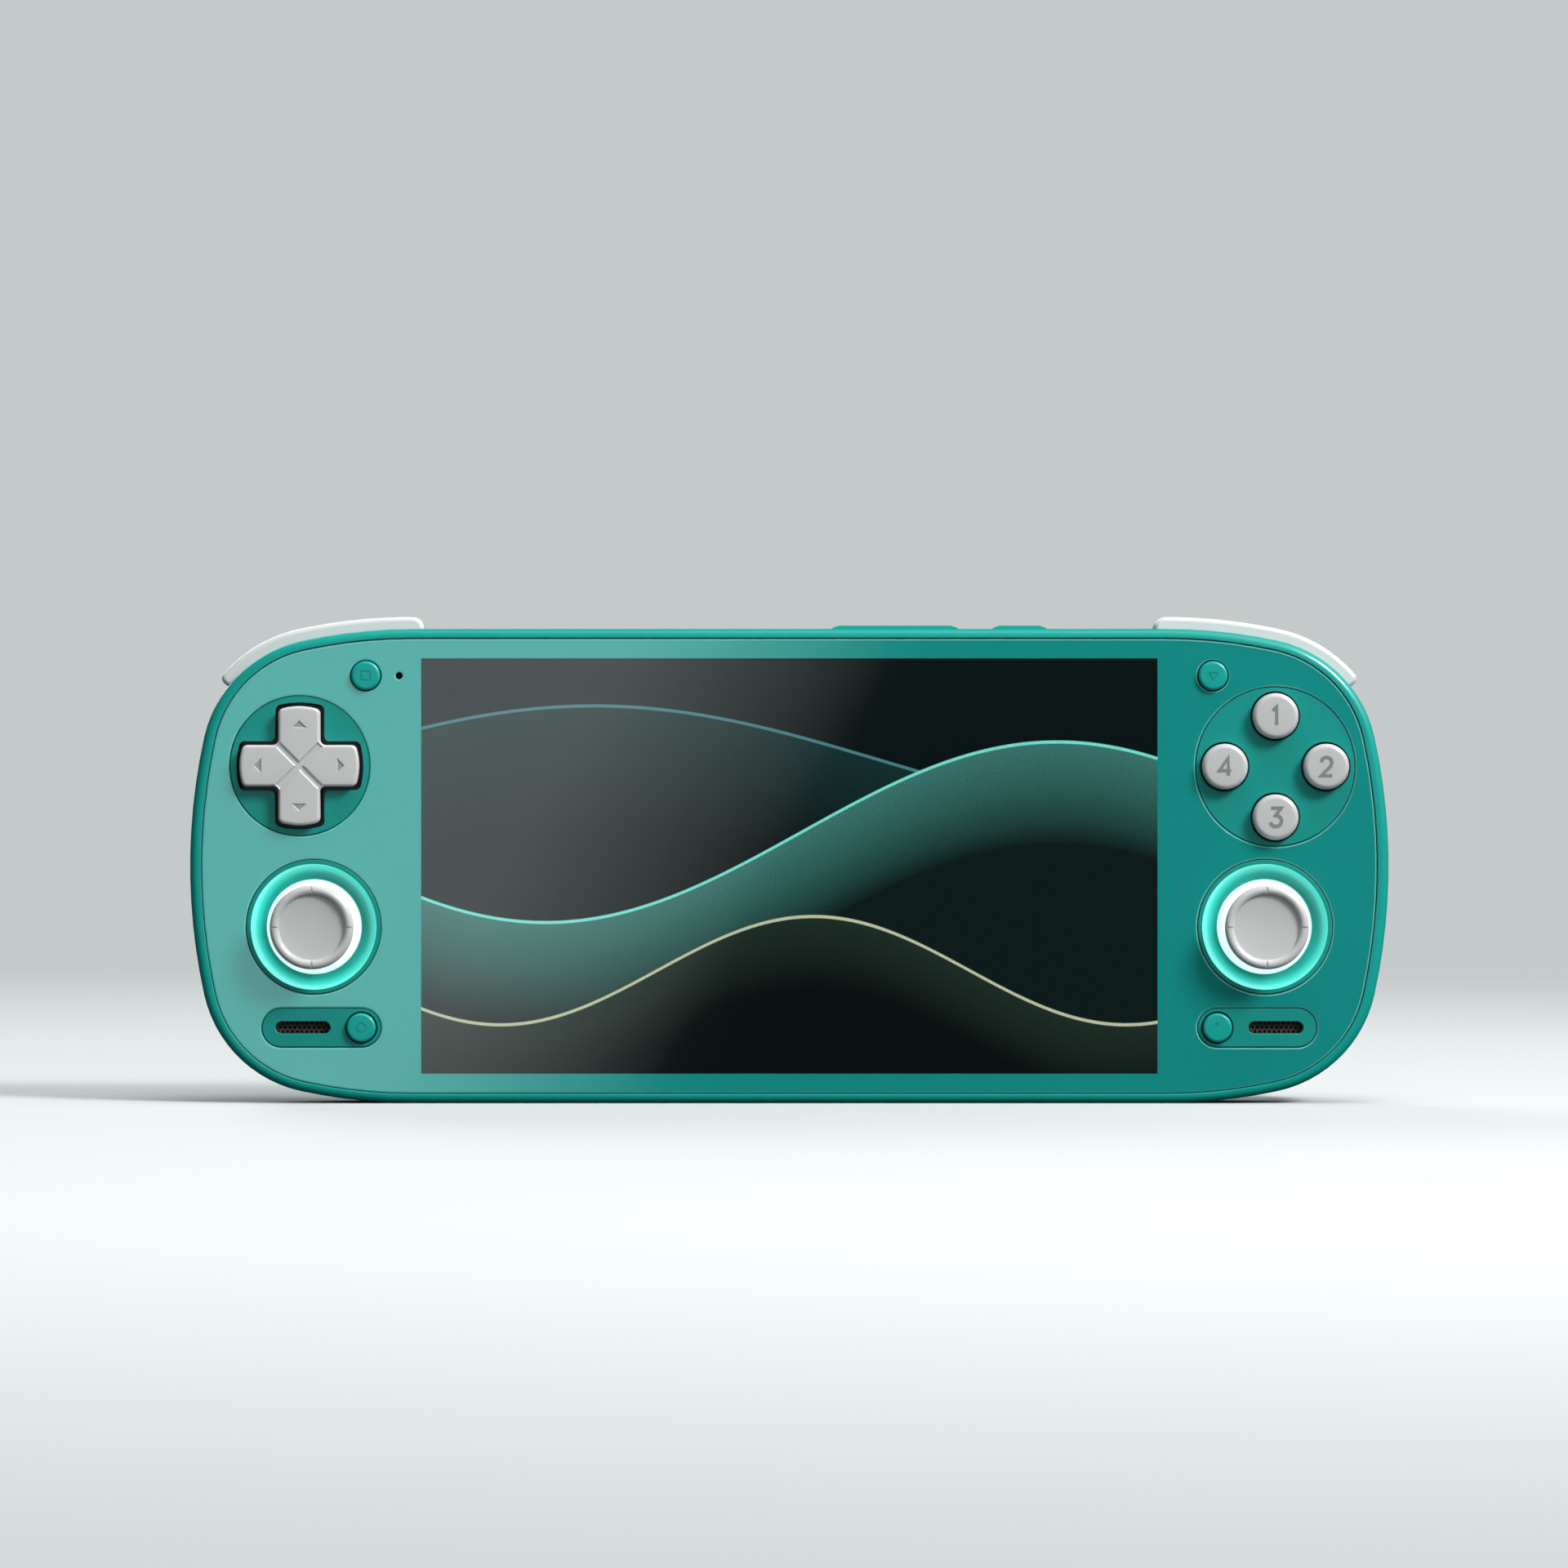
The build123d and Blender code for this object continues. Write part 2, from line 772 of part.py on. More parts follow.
def make_heat_sink():
    front = main_board_back_y + chip_height
    back = front + sink_thickness
    low = chip_rise - sink_plate_height / 2
    high = chip_rise + sink_plate_height / 2
    shape = block((sink_left, sink_right), (front, back), (low, high))
    shape += block((sink_right - sink_pipe_width, sink_right), (front, back), (low, fin_top))
    shape += block((fin_left, sink_right), (front, back), (fin_bottom, fin_top))
    for n in range(fin_count):
        x = fin_left + n * fin_pitch
        shape += block((x, x + fin_thickness), (front, back + fin_depth), (fin_bottom, fin_top))
    return shape


def make_fan_housing():
    front = main_board_back_y + fan_front_gap
    back = front + fan_depth
    shape = slab(Pos(fan_place, fan_rise) * Rectangle(2 * fan_half, 2 * fan_half), front, back)
    shape -= disc(fan_place, fan_rise, fan_cavity_radius, front + fan_wall, back - fan_wall)
    shape -= disc(fan_place, fan_rise, fan_inlet_radius, back - overrun, back + overrun)
    shape -= block(
        (fan_place - fan_outlet_width / 2, fan_place + fan_outlet_width / 2),
        (front + fan_wall, back - fan_wall), (fan_rise, fan_rise + fan_half + overrun),
    )
    shape += disc(fan_place, fan_rise, rotor_pin_radius, front, back - fan_wall)
    leg = fan_half - fan_leg_radius
    for sx in (-1, 1):
        for sz in (-1, 1):
            shape += disc(
                fan_place + sx * leg, fan_rise + sz * leg, fan_leg_radius, main_board_back_y, front
            )
    return shape


def make_fan_rotor():
    front = main_board_back_y + fan_front_gap + fan_wall + rotor_gap
    back = main_board_back_y + fan_front_gap + fan_depth - fan_wall - rotor_gap
    shape = Circle(rotor_hub_radius)
    length = rotor_radius - rotor_hub_radius
    for n in range(blade_count):
        blade = Pos(rotor_hub_radius, 0) * Rot(0, 0, blade_lean) * Rectangle(
            length, blade_thickness, align=(Align.MIN, Align.CENTER)
        )
        shape += Rot(0, 0, n * 360 / blade_count) * blade
    shape -= Circle(rotor_pin_radius + rotor_pin_gap)
    return slab(Pos(fan_place, fan_rise) * shape, front, back)


def make_dpad_well():
    front = face_y + well_sink
    shape = disc(-dpad_offset, dpad_z, dpad_well_radius, front, deck_y)
    opening = cross(
        dpad_span + 2 * dpad_gap, dpad_arm + 2 * dpad_gap, dpad_bow, dpad_corner, dpad_inner_corner
    )
    shape -= slab(Pos(-dpad_offset, dpad_z) * opening, front - overrun, deck_y + overrun)
    return chamfer(front_edges(shape), edge_break)


def make_dpad():
    front = face_y - dpad_height
    flange_front = deck_y + dpad_flange_drop
    flange_back = flange_front + dpad_flange_thickness
    plan = cross(dpad_span, dpad_arm, dpad_bow, dpad_corner, dpad_inner_corner)
    shape = slab(plan, front, flange_back)
    shape = fillet(front_edges(shape), dpad_edge_radius)
    groove = Rectangle(dpad_arm * math.sqrt(2) + dpad_corner / 2, dpad_groove_width)
    for turn in (45, -45):
        shape -= sunk(Rot(0, 0, turn) * groove, front, dpad_groove_depth)
    arrow = Triangle(a=dpad_arrow_width, b=arrow_side(), c=arrow_side())
    for n in range(4):
        shape -= sunk(Rot(0, 0, n * 90) * Pos(0, dpad_arrow_place) * arrow, front, dpad_arrow_depth)
    shape += disc(0, 0, dpad_flange_radius, flange_front, flange_back)
    hub_back = pivot_y + pivot_radius / 4
    shape += disc(0, 0, pivot_hub_radius, flange_front, hub_back)
    shape -= Pos(0, pivot_y, 0) * Sphere(pivot_radius + pivot_gap)
    return Pos(-dpad_offset, 0, dpad_z) * shape


def sunk(sketch, front, depth):
    # A recess with sloping sides, widest at the front level
    return extrude(Plane.XZ.offset(-front) * sketch, amount=-depth, taper=dpad_sunk_slope)


def arrow_side():
    return math.hypot(dpad_arrow_width / 2, dpad_arrow_height)


def make_dpad_pivot():
    return Pos(-dpad_offset, pivot_y, dpad_z) * Sphere(pivot_radius)


def make_dpad_membrane():
    back = control_board_y
    front = back - membrane_thickness
    shape = disc(0, 0, dpad_flange_radius, front, back)
    for n in range(4):
        turn = Rot(0, 90 * n, 0)
        shape += turn * disc(
            0, dpad_arrow_place, membrane_dome_radius, front - membrane_dome_height, back
        )
    shape -= disc(0, 0, membrane_hole_radius, front - overrun, back + overrun)
    return Pos(-dpad_offset, 0, dpad_z) * shape


def cluster_places():
    return {
        "button_north": (cluster_offset, cluster_z + button_spacing),
        "button_east": (cluster_offset + button_spacing, cluster_z),
        "button_south": (cluster_offset, cluster_z - button_spacing),
        "button_west": (cluster_offset - button_spacing, cluster_z),
    }


def make_button_well():
    front = face_y + well_sink
    shape = disc(cluster_offset, cluster_z, cluster_well_radius, front, deck_y)
    shape += disc(cluster_offset, cluster_z, cluster_well_radius - cluster_ledge, front, deck_back_y)
    for x, z in cluster_places().values():
        shape -= disc(x, z, button_radius + button_gap, front - overrun, deck_back_y + overrun)
    return chamfer(front_edges(shape), edge_break)


def make_face_button(x, z):
    front = face_y - button_height
    flange_front = deck_back_y + button_seat_gap
    flange_back = flange_front + button_flange_thickness
    shape = disc(x, z, button_radius, front, flange_back)
    shape = fillet(front_edges(shape), button_edge_radius)
    return shape + disc(x, z, button_radius + button_gap + button_flange_width, flange_front, flange_back)


def make_button_membrane():
    back = control_board_y
    front = back - membrane_thickness
    shape = disc(cluster_offset, cluster_z, cluster_well_radius - dpad_ledge, front, back)
    for x, z in cluster_places().values():
        shape += disc(x, z, membrane_dome_radius, front - membrane_dome_height, back)
    return shape


def small_button_places():
    return {
        "select_button": (-top_button_offset, top_row_z),
        "start_button": (top_button_offset, top_row_z),
        "home_button": (-insert_button_offset, insert_z),
        "back_button": (insert_button_offset, insert_z),
    }


def small_mark(name):
    # A plain outline figure: a square, a triangle, a ring or a bent line
    if name == "select_button":
        figure = Rectangle(small_mark_size, small_mark_size)
    elif name == "start_button":
        figure = Rot(0, 0, -90) * RegularPolygon(small_mark_size * mark_triangle_share, 3)
    elif name == "home_button":
        figure = Circle(small_mark_size / 2)
    else:
        half = small_mark_size / 2
        corner = Pos(-half / 2, 0) * Rot(0, 0, 45) * Rectangle(
            small_mark_size, small_mark_size, align=(Align.MIN, Align.MIN)
        )
        return corner & Pos(-half / 2, 0) * Rectangle(
            half, small_mark_size, align=(Align.MIN, Align.CENTER)
        )
    return figure - offset(figure, -small_mark_line)


def make_small_button(name, x, z):
    front = face_y - small_button_height
    flange_front = deck_back_y + button_seat_gap
    flange_back = flange_front + button_flange_thickness
    stem_back = control_board_y - switch_height - switch_gap
    shape = disc(x, z, small_button_radius, front, flange_back)
    shape = fillet(front_edges(shape), small_button_edge_radius)
    shape -= slab(Pos(x, z) * small_mark(name), front - overrun, front + small_mark_depth)
    shape += disc(x, z, small_hole_radius + small_button_flange_width, flange_front, flange_back)
    return shape + disc(x, z, small_button_stem_radius, flange_front, stem_back)


def make_control_board(side):
    half_plane = Pos(side * control_board_start, mid_z) * Rectangle(
        body_width, 2 * body_height, align=(Align.MIN if side > 0 else Align.MAX, Align.CENTER)
    )
    sheet = outline(control_board_inset, control_board_inset) & half_plane
    sheet -= Pos(side * stick_offset, stick_z) * Circle(dome_radius + ear_gap)
    for x, z in board_post_places:
        sheet -= Pos(side * x, z) * Circle(board_screw_radius + screw_gap)
    for x, z in rear_screw_places:
        sheet -= Pos(side * x, z) * Circle(rear_post_radius + ear_gap)
    shape = slab(sheet, control_board_y, control_board_back_y)
    if side < 0:
        cup_front = pivot_y + pivot_radius / 2
        shape += disc(-dpad_offset, dpad_z, pivot_cup_radius, cup_front, control_board_back_y)
        shape -= Pos(-dpad_offset, pivot_y, dpad_z) * Sphere(pivot_radius + pivot_gap)
    return shape


def make_stick_well(side):
    x = side * stick_offset
    front = face_y + stick_well_sink
    rim = (dish_radius, front)
    hole = (dish_hole_radius, front + dish_depth)
    span = dish_radius - dish_hole_radius
    bend = (
        dish_radius - span * (1 - math.cos(math.radians(45))),
        front + dish_depth * math.sin(math.radians(45)),
    )
    outer = stick_well_radius
    inner = stick_well_radius - stick_ledge
    floor = front + dish_depth + dish_floor
    profile = [
        ThreePointArc(rim, bend, hole),
        Line(hole, (dish_hole_radius + dish_floor / 2, floor)),
        Line((dish_hole_radius + dish_floor / 2, floor), (inner, floor)),
        Line((inner, floor), (inner, deck_y)),
        Line((inner, deck_y), (outer, deck_y)),
        Line((outer, deck_y), (outer, front + edge_break)),
        Line((outer, front + edge_break), (outer - edge_break, front)),
        Line((outer - edge_break, front), rim),
    ]
    return turned(profile, x, stick_z)


def make_light_ring(side):
    inner = stick_well_radius - stick_ledge + light_ring_gap + well_gap
    ring = Circle(inner + light_ring_width) - Circle(inner)
    return slab(
        Pos(side * stick_offset, stick_z) * ring, deck_back_y, deck_back_y + light_ring_thickness
    )


def make_stick_dome(side):
    # A dust dome about the pivot, on the tube that the cap's shaft slides in, with its own pivots
    tube_back = trunnion_radius * 2
    keep = dome_radius * (1 - dome_lip_share)
    shape = Sphere(dome_radius) - Sphere(dome_radius - dome_thickness)
    shape &= Pos(0, -dome_radius + keep / 2, 0) * Box(2 * dome_radius, keep, 2 * dome_radius)
    shape += slab(Circle(stick_tube_radius), -dome_radius + dome_thickness / 2, tube_back)
    reach = stick_tube_radius + trunnion_length + (ring_opening - stick_tube_radius) - trunnion_gap
    shape += rod_along_x(-reach, reach, 0, 0, trunnion_radius)
    shape -= slab(
        Circle(stick_shaft_radius + stick_shaft_gap), -dome_radius - overrun, tube_back + overrun
    )
    return Pos(side * stick_offset, stick_pivot_y, stick_z) * shape


def make_stick_ring(side):
    # The gimbal ring: turns about the upright line, and carries the dome's pivots
    shape = Box(2 * ring_half, 2 * ring_half_thickness, 2 * ring_half)
    shape -= Box(2 * ring_opening, 2 * ring_half_thickness + overrun, 2 * ring_opening)
    shape -= rod_along_x(-ring_half - overrun, ring_half + overrun, 0, 0, trunnion_radius + trunnion_gap)
    for sz in (-1, 1):
        low = sz * (ring_half - trunnion_length / 2)
        high = sz * (ring_half + ear_gap + trunnion_length)
        shape += rod_along_z(0, 0, min(low, high), max(low, high), trunnion_radius)
    return Pos(side * stick_offset, stick_pivot_y, stick_z) * shape


def make_stick_base(side):
    top = base_drop
    shape = slab(Rectangle(2 * base_half, 2 * base_half), top, top + base_thickness)
    ear_top = -trunnion_radius * 2
    for sz in (-1, 1):
        inner = ring_half + ear_gap
        low = min(sz * inner, sz * (inner + ear_thickness))
        high = max(sz * inner, sz * (inner + ear_thickness))
        shape += block((-ear_width / 2, ear_width / 2), (ear_top, top + base_thickness), (low, high))
    shape -= rod_along_z(0, 0, -base_half, base_half, trunnion_radius + trunnion_gap)
    shape += disc(0, 0, base_switch_radius, top - base_switch_height, top)
    post_front = control_board_back_y - stick_pivot_y
    for sx in (-1, 1):
        for sz in (-1, 1):
            shape += disc(
                sx * base_post_place, sz * base_post_place, base_post_radius, post_front, top
            )
    return Pos(side * stick_offset, stick_pivot_y, stick_z) * shape


def make_stick_cap(side):
    bottom = -dome_radius - stick_cap_gap
    top = bottom - stick_cap_thickness
    bead_y = top + stick_bead_radius
    bead_x = stick_cap_radius - stick_bead_radius
    disc_edge = bead_x - stick_bead_radius
    foot = stick_cap_radius - stick_bead_radius / 2
    foot_y = bottom - stick_bead_radius / 2
    foot_in = foot - stick_bead_radius / 2
    shaft_back = trunnion_radius * 2
    profile = [
        ThreePointArc(
            (-disc_edge, bead_y), (0, bead_y + stick_disc_dip), (disc_edge, bead_y)
        ),
        ThreePointArc((disc_edge, bead_y), (bead_x, top), (stick_cap_radius, bead_y)),
        Line((stick_cap_radius, bead_y), (foot, foot_y)),
        Line((foot, foot_y), (foot_in, bottom)),
        Line((foot_in, bottom), (-foot_in, bottom)),
        Line((-foot_in, bottom), (-foot, foot_y)),
        Line((-foot, foot_y), (-stick_cap_radius, bead_y)),
        ThreePointArc((-stick_cap_radius, bead_y), (-bead_x, top), (-disc_edge, bead_y)),
    ]
    half = make_face(profile) & Rectangle(
        body_depth, 4 * dome_radius, align=(Align.MIN, Align.CENTER)
    )
    shape = revolve(half, Axis.Y)
    for n in range(4):
        tick = Pos(bead_x, top, 0) * Box(stick_tick_length, 2 * stick_tick_depth, stick_tick_width)
        shape -= Rot(0, 90 * n, 0) * tick
    shape += slab(Circle(stick_shaft_radius), bottom, shaft_back)
    return Pos(side * stick_offset, stick_pivot_y, stick_z) * shape


def make_insert(side):
    front = face_y + well_sink
    place = Pos(side * insert_offset, insert_z)
    slot_place = Pos(side * speaker_slot_offset, insert_z)
    shape = slab(place * SlotOverall(insert_length, insert_height), front, deck_y)
    shape += slab(
        place * SlotOverall(insert_length - 2 * insert_ledge, insert_height - 2 * insert_ledge),
        front, deck_back_y,
    )
    shape -= disc(
        side * insert_button_offset, insert_z, small_hole_radius, front - overrun, deck_back_y + overrun
    )
    shape -= slab(
        slot_place * SlotOverall(speaker_slot_length, speaker_slot_height),
        front - overrun, deck_back_y + overrun,
    )
    shape -= slab(
        slot_place * SlotOverall(mesh_length(), mesh_height()),
        deck_back_y - mesh_pocket_depth, deck_back_y + overrun,
    )
    return chamfer(front_edges(shape), edge_break)


def mesh_length():
    return speaker_slot_length + 2 * mesh_margin


def mesh_height():
    return speaker_slot_height + 2 * mesh_margin


def make_mesh(side):
    front = deck_back_y - mesh_pocket_depth
    sheet = SlotOverall(mesh_length() - 2 * screw_gap, mesh_height() - 2 * screw_gap)
    row_step = mesh_pitch * math.sin(math.radians(60))
    for row in range(mesh_rows):
        z = (row - (mesh_rows - 1) / 2) * row_step
        shift = mesh_pitch / 4 if row % 2 else -mesh_pitch / 4
        for column in range(mesh_columns):
            x = (column - (mesh_columns - 1) / 2) * mesh_pitch + shift
            sheet -= Pos(x, z) * RegularPolygon(mesh_hole_radius, 6)
    return slab(Pos(side * speaker_slot_offset, insert_z) * sheet, front, front + mesh_thickness)


def make_speaker(side):
    x = side * speaker_slot_offset
    front = deck_back_y
    shape = slab(Pos(x, insert_z) * RectangleRounded(speaker_length, speaker_height, speaker_height / 6),
                 front, front + speaker_depth)
    cone = Pos(x, insert_z) * SlotOverall(speaker_length / 2, speaker_height * speaker_cone_share)
    return shape - slab(cone, front - overrun, front + speaker_depth / 6)


def make_bumper(side):
    back = parting_y - bumper_gap
    shape = slab(shoulder_band(side, bumper_proud, bumper_inside, 0, 0), bumper_y, back)
    for place, radius in ((0, bumper_corner), (-1, bumper_end_corner)):
        ends = proud_edges(shape.edges().filter_by(Axis.Y))
        ends.sort(key=lambda edge: abs(edge.center().X))
        shape = fillet(ends[place], radius)
    shape = fillet(proud_edges(front_edges(shape)), bumper_edge_radius)
    pin_x = side * (bumper_start + bumper_pin_place)
    pin_z = body_height - bumper_pin_depth
    return shape - disc(
        pin_x, pin_z, bumper_pin_radius + bumper_pin_gap, bumper_y - overrun, back + overrun
    )


def proud_edges(edges):
    # Those edges of a bumper that stand proud of the frame
    probe = outline(-bumper_proud / 2, -bumper_proud / 2)
    middles = [(edge, edge.center()) for edge in edges]
    return [edge for edge, middle in middles if not probe.is_inside(Vector(middle.X, middle.Z, 0))]


def trigger_xs(side, gap):
    low = trigger_start - gap
    high = trigger_start + trigger_width + gap
    return (low, high) if side > 0 else (-high, -low)


def make_trigger(side):
    low, high = trigger_xs(side, 0)
    tip_y = back_y + trigger_reach
    top = body_height + trigger_proud
    heel_z = trigger_pivot_rise - trigger_boss_radius
    inner_y = trigger_pivot_y + trigger_boss_radius
    tip_in = tip_y - trigger_thickness
    profile = make_face(
        [
            Line((trigger_y, heel_z), (trigger_y, top)),
            Line((trigger_y, top), (back_y - trigger_thickness, top)),
            ThreePointArc(
                (back_y - trigger_thickness, top),
                (tip_y - trigger_thickness, (top + trigger_tip_rise) / 2 + trigger_thickness),
                (tip_y, trigger_tip_rise),
            ),
            Line((tip_y, trigger_tip_rise), (tip_in, trigger_tip_rise - trigger_thickness / 3)),
            ThreePointArc(
                (tip_in, trigger_tip_rise - trigger_thickness / 3),
                ((inner_y + tip_in) / 2 + trigger_thickness / 5, heel_z - trigger_boss_radius),
                (inner_y, heel_z),
            ),
            Line((inner_y, heel_z), (trigger_y, heel_z)),
        ]
    )
    # The profile is drawn in Y and Z and runs along X
    shape = extrude(Plane.YZ.offset(low) * profile, amount=high - low)
    plan = outline(-trigger_proud, -trigger_proud)
    shape &= slab(plan, face_y, tip_y + overrun)
    tip = [e for e in shape.edges().filter_by(Axis.X) if e.center().Y > back_y]
    tip = [e for e in tip if e.center().Z < trigger_tip_rise + trigger_edge_radius]
    shape = fillet(tip, trigger_edge_radius)
    sides = [e for e in shape.edges().filter_by(Axis.X, reverse=True) if e.center().Y > back_y]
    shape = chamfer(sides, trigger_edge_radius / 2)
    shape -= rod_along_x(low - overrun, high + overrun, trigger_pivot_y, trigger_pivot_rise,
                         trigger_pin_radius + trigger_pin_gap)
    middle = (low + high) / 2
    shape -= block(
        (middle - spring_slot / 2, middle + spring_slot / 2),
        (trigger_y - overrun, trigger_pivot_y + trigger_boss_radius + spring_wire),
        (heel_z - overrun, trigger_pivot_rise + trigger_boss_radius + spring_wire),
    )
    return shape


def make_trigger_pin(side):
    low, high = trigger_xs(side, trigger_side_gap + trigger_ear)
    return rod_along_x(low, high, trigger_pivot_y, trigger_pivot_rise, trigger_pin_radius)


def make_trigger_spring(side):
    low, high = trigger_xs(side, 0)
    length = spring_pitch * spring_turns
    path = Helix(spring_pitch, length, spring_radius)
    coil = sweep(Plane(origin=path @ 0, z_dir=path % 0) * Circle(spring_wire / 2), path=path)
    middle = (low + high) / 2
    return Pos(middle - length / 2, trigger_pivot_y, trigger_pivot_rise) * Rot(0, 90, 0) * coil


def make_rear_shell():
    shape = fillet(rear_edges(slab(outline(0, 0), parting_y, back_y)), rear_edge_radius)
    hollow = slab(outline(wall, wall), parting_y - overrun, back_y - wall)
    hollow = fillet(rear_edges(hollow), rear_edge_radius - wall)
    for side in (-1, 1):
        place = Pos(side * grip_offset, grip_rise)
        pad = slab(place * RectangleRounded(grip_width, grip_height, grip_corner), back_y - wall,
                   back_y + grip_depth)
        shape += fillet(rear_edges(pad), grip_edge_radius)
        room = slab(
            place * RectangleRounded(grip_width - 2 * wall, grip_height - 2 * wall, grip_corner - wall),
            back_y - 2 * wall, back_y + grip_depth - wall,
        )
        hollow += fillet(rear_edges(room), grip_edge_radius - wall)
    shape -= hollow
    plan = slab(outline(0, 0), parting_y, back_y + grip_depth)
    for side in (-1, 1):
        low, high = trigger_xs(side, trigger_side_gap + trigger_ear)
        housing = block(
            (low, high), (parting_y, back_y - rear_edge_radius / 2),
            (trigger_pocket_rise - trigger_ear, body_height - rear_edge_radius / 2),
        )
        shape += housing & slab(outline(wall / 2, wall / 2), parting_y, back_y - wall / 2)
        low, high = trigger_xs(side, trigger_side_gap)
        web_top = trigger_pivot_rise - trigger_boss_radius - wall
        shape -= block(
            (low, high), (parting_y - overrun, back_y + overrun), (web_top, body_height + overrun)
        )
        shape -= block(
            (low, high), (parting_y + trigger_ear, back_y + overrun),
            (trigger_pocket_rise, web_top + overrun),
        )
        low, high = trigger_xs(side, trigger_side_gap + trigger_ear + overrun)
        shape -= rod_along_x(low, high, trigger_pivot_y, trigger_pivot_rise,
                             trigger_pin_radius + screw_gap)
        for x, z in rear_screw_places:
            shape += disc(side * x, z, rear_post_radius + wall / 3, parting_y, back_y - wall / 2) & plan
            shape -= disc(side * x, z, rear_screw_radius + 2 * screw_gap, parting_y - overrun, head_y)
            shape -= disc(
                side * x, z, rear_screw_head_radius + 2 * screw_gap, head_y, back_y + grip_depth + overrun
            )
    for n in range(vent_count):
        x = fan_place + (n - (vent_count - 1) / 2) * vent_pitch
        shape -= slab(
            Pos(x, fan_rise) * Rot(0, 0, 90) * SlotOverall(vent_slot_length, vent_slot_width),
            back_y - wall - overrun, back_y + overrun,
        )
    for n in range(exhaust_count):
        x = (fin_left + sink_right) / 2 + (n - (exhaust_count - 1) / 2) * exhaust_pitch
        low = parting_y + wall / 2
        shape -= block(
            (x - exhaust_slot_width / 2, x + exhaust_slot_width / 2),
            (low, low + exhaust_slot_height), (wall_z - overrun, body_height + overrun),
        )
    return shape


def make_rear_screw(x, z):
    shape = disc(x, z, rear_screw_radius, head_y - rear_screw_length, head_y)
    shape += disc(x, z, rear_screw_head_radius, head_y, head_y + rear_screw_head_height)
    return shape - disc(
        x, z, rear_screw_radius / 2, head_y + rear_screw_head_height / 2, head_y + rear_screw_head_height
    )


def make_rear_screws():
    return Compound(
        children=[make_rear_screw(side * x, z) for side in (-1, 1) for x, z in rear_screw_places]
    )


def make_key(place, length, dimple_share):
    middle = (main_board_y + main_board_back_y) / 2
    half = length / 2
    top = body_height + key_height
    side_arc = key_slope / 3
    profile = make_face(
        Polyline(
            (place - half, key_flange_z), (place - half, body_height),
            (place - half + side_arc, body_height + key_height / 2), (place - half + key_slope, top),
            (place + half - key_slope, top), (place + half - side_arc, body_height + key_height / 2),
            (place + half, body_height), (place + half, key_flange_z), close=True,
        )
    )
    shape = slab(profile, middle - key_depth / 2, middle + key_depth / 2)
    reach = half + key_flange
    depth = key_depth / 2 + key_flange / 2
    shape += block(
        (place - reach, place + reach), (middle - depth, middle + depth),
        (key_flange_z - key_flange, key_flange_z),
    )
    return shape - Pos(place + half * dimple_share, middle, top) * Sphere(key_dimple_radius)


def make_switches():
    # Tact switches: four behind the small buttons, three under the keys, two under the bumpers
    solids = []
    for x, z in small_button_places().values():
        solids.append(
            slab(Pos(x, z) * Rectangle(switch_size, switch_size), control_board_y - switch_height,
                 control_board_y)
        )
    middle = (main_board_y + main_board_back_y) / 2
    half = switch_size / 2
    key_switches = [
        volume_key_place - volume_switch_spacing / 2,
        volume_key_place + volume_switch_spacing / 2,
        power_key_place,
    ]
    for x in key_switches:
        solids.append(
            block((x - half, x + half), (middle - key_depth / 2, middle + key_depth / 2),
                  (main_board_top, key_switch_z))
        )
    middle = (control_board_y + control_board_back_y) / 2
    for side in (-1, 1):
        x = side * bumper_switch_offset
        low = shoulder_height(bumper_switch_offset - half, control_board_inset)
        solids.append(
            block((x - half, x + half), (middle - key_depth / 2, middle + key_depth / 2),
                  (low, low + switch_height))
        )
    return Compound(children=solids)


def make_usb_socket():
    plan = Pos(usb_place, usb_y())
    shape = tower(plan * SlotOverall(usb_width, usb_height), socket_sink, socket_sink + usb_length)
    shape -= tower(
        plan * SlotOverall(usb_width - 2 * usb_wall, usb_height - 2 * usb_wall),
        socket_sink - overrun, socket_sink + usb_length - wall,
    )
    return shape + tower(
        plan * Rectangle(usb_tongue_width, usb_tongue_thickness),
        socket_sink + wall / 2, socket_sink + usb_length - wall / 2,
    )


def make_audio_jack():
    y = jack_y()
    low = socket_sink
    high = low + jack_length
    shape = block(
        (jack_place - jack_width / 2, jack_place + jack_width / 2),
        (y - jack_depth / 2, y + jack_depth / 2), (wall + screw_gap, high + wall / 2),
    )
    shape += rod_along_z(jack_place, y, low, wall + overrun, jack_collar_radius)
    return shape - rod_along_z(jack_place, y, low - overrun, high, jack_bore_radius)


def make_card_slot():
    half = card_width / 2
    y = card_y()
    low = wall + screw_gap
    shape = block(
        (card_place - half, card_place + half), (y - card_height / 2, y + card_height / 2),
        (low, low + card_length),
    )
    return shape - block(
        (card_place - card_slot_width / 2, card_place + card_slot_width / 2),
        (y - card_slot_height / 2, y + card_slot_height / 2), (low - overrun, low + card_slot_depth),
    )


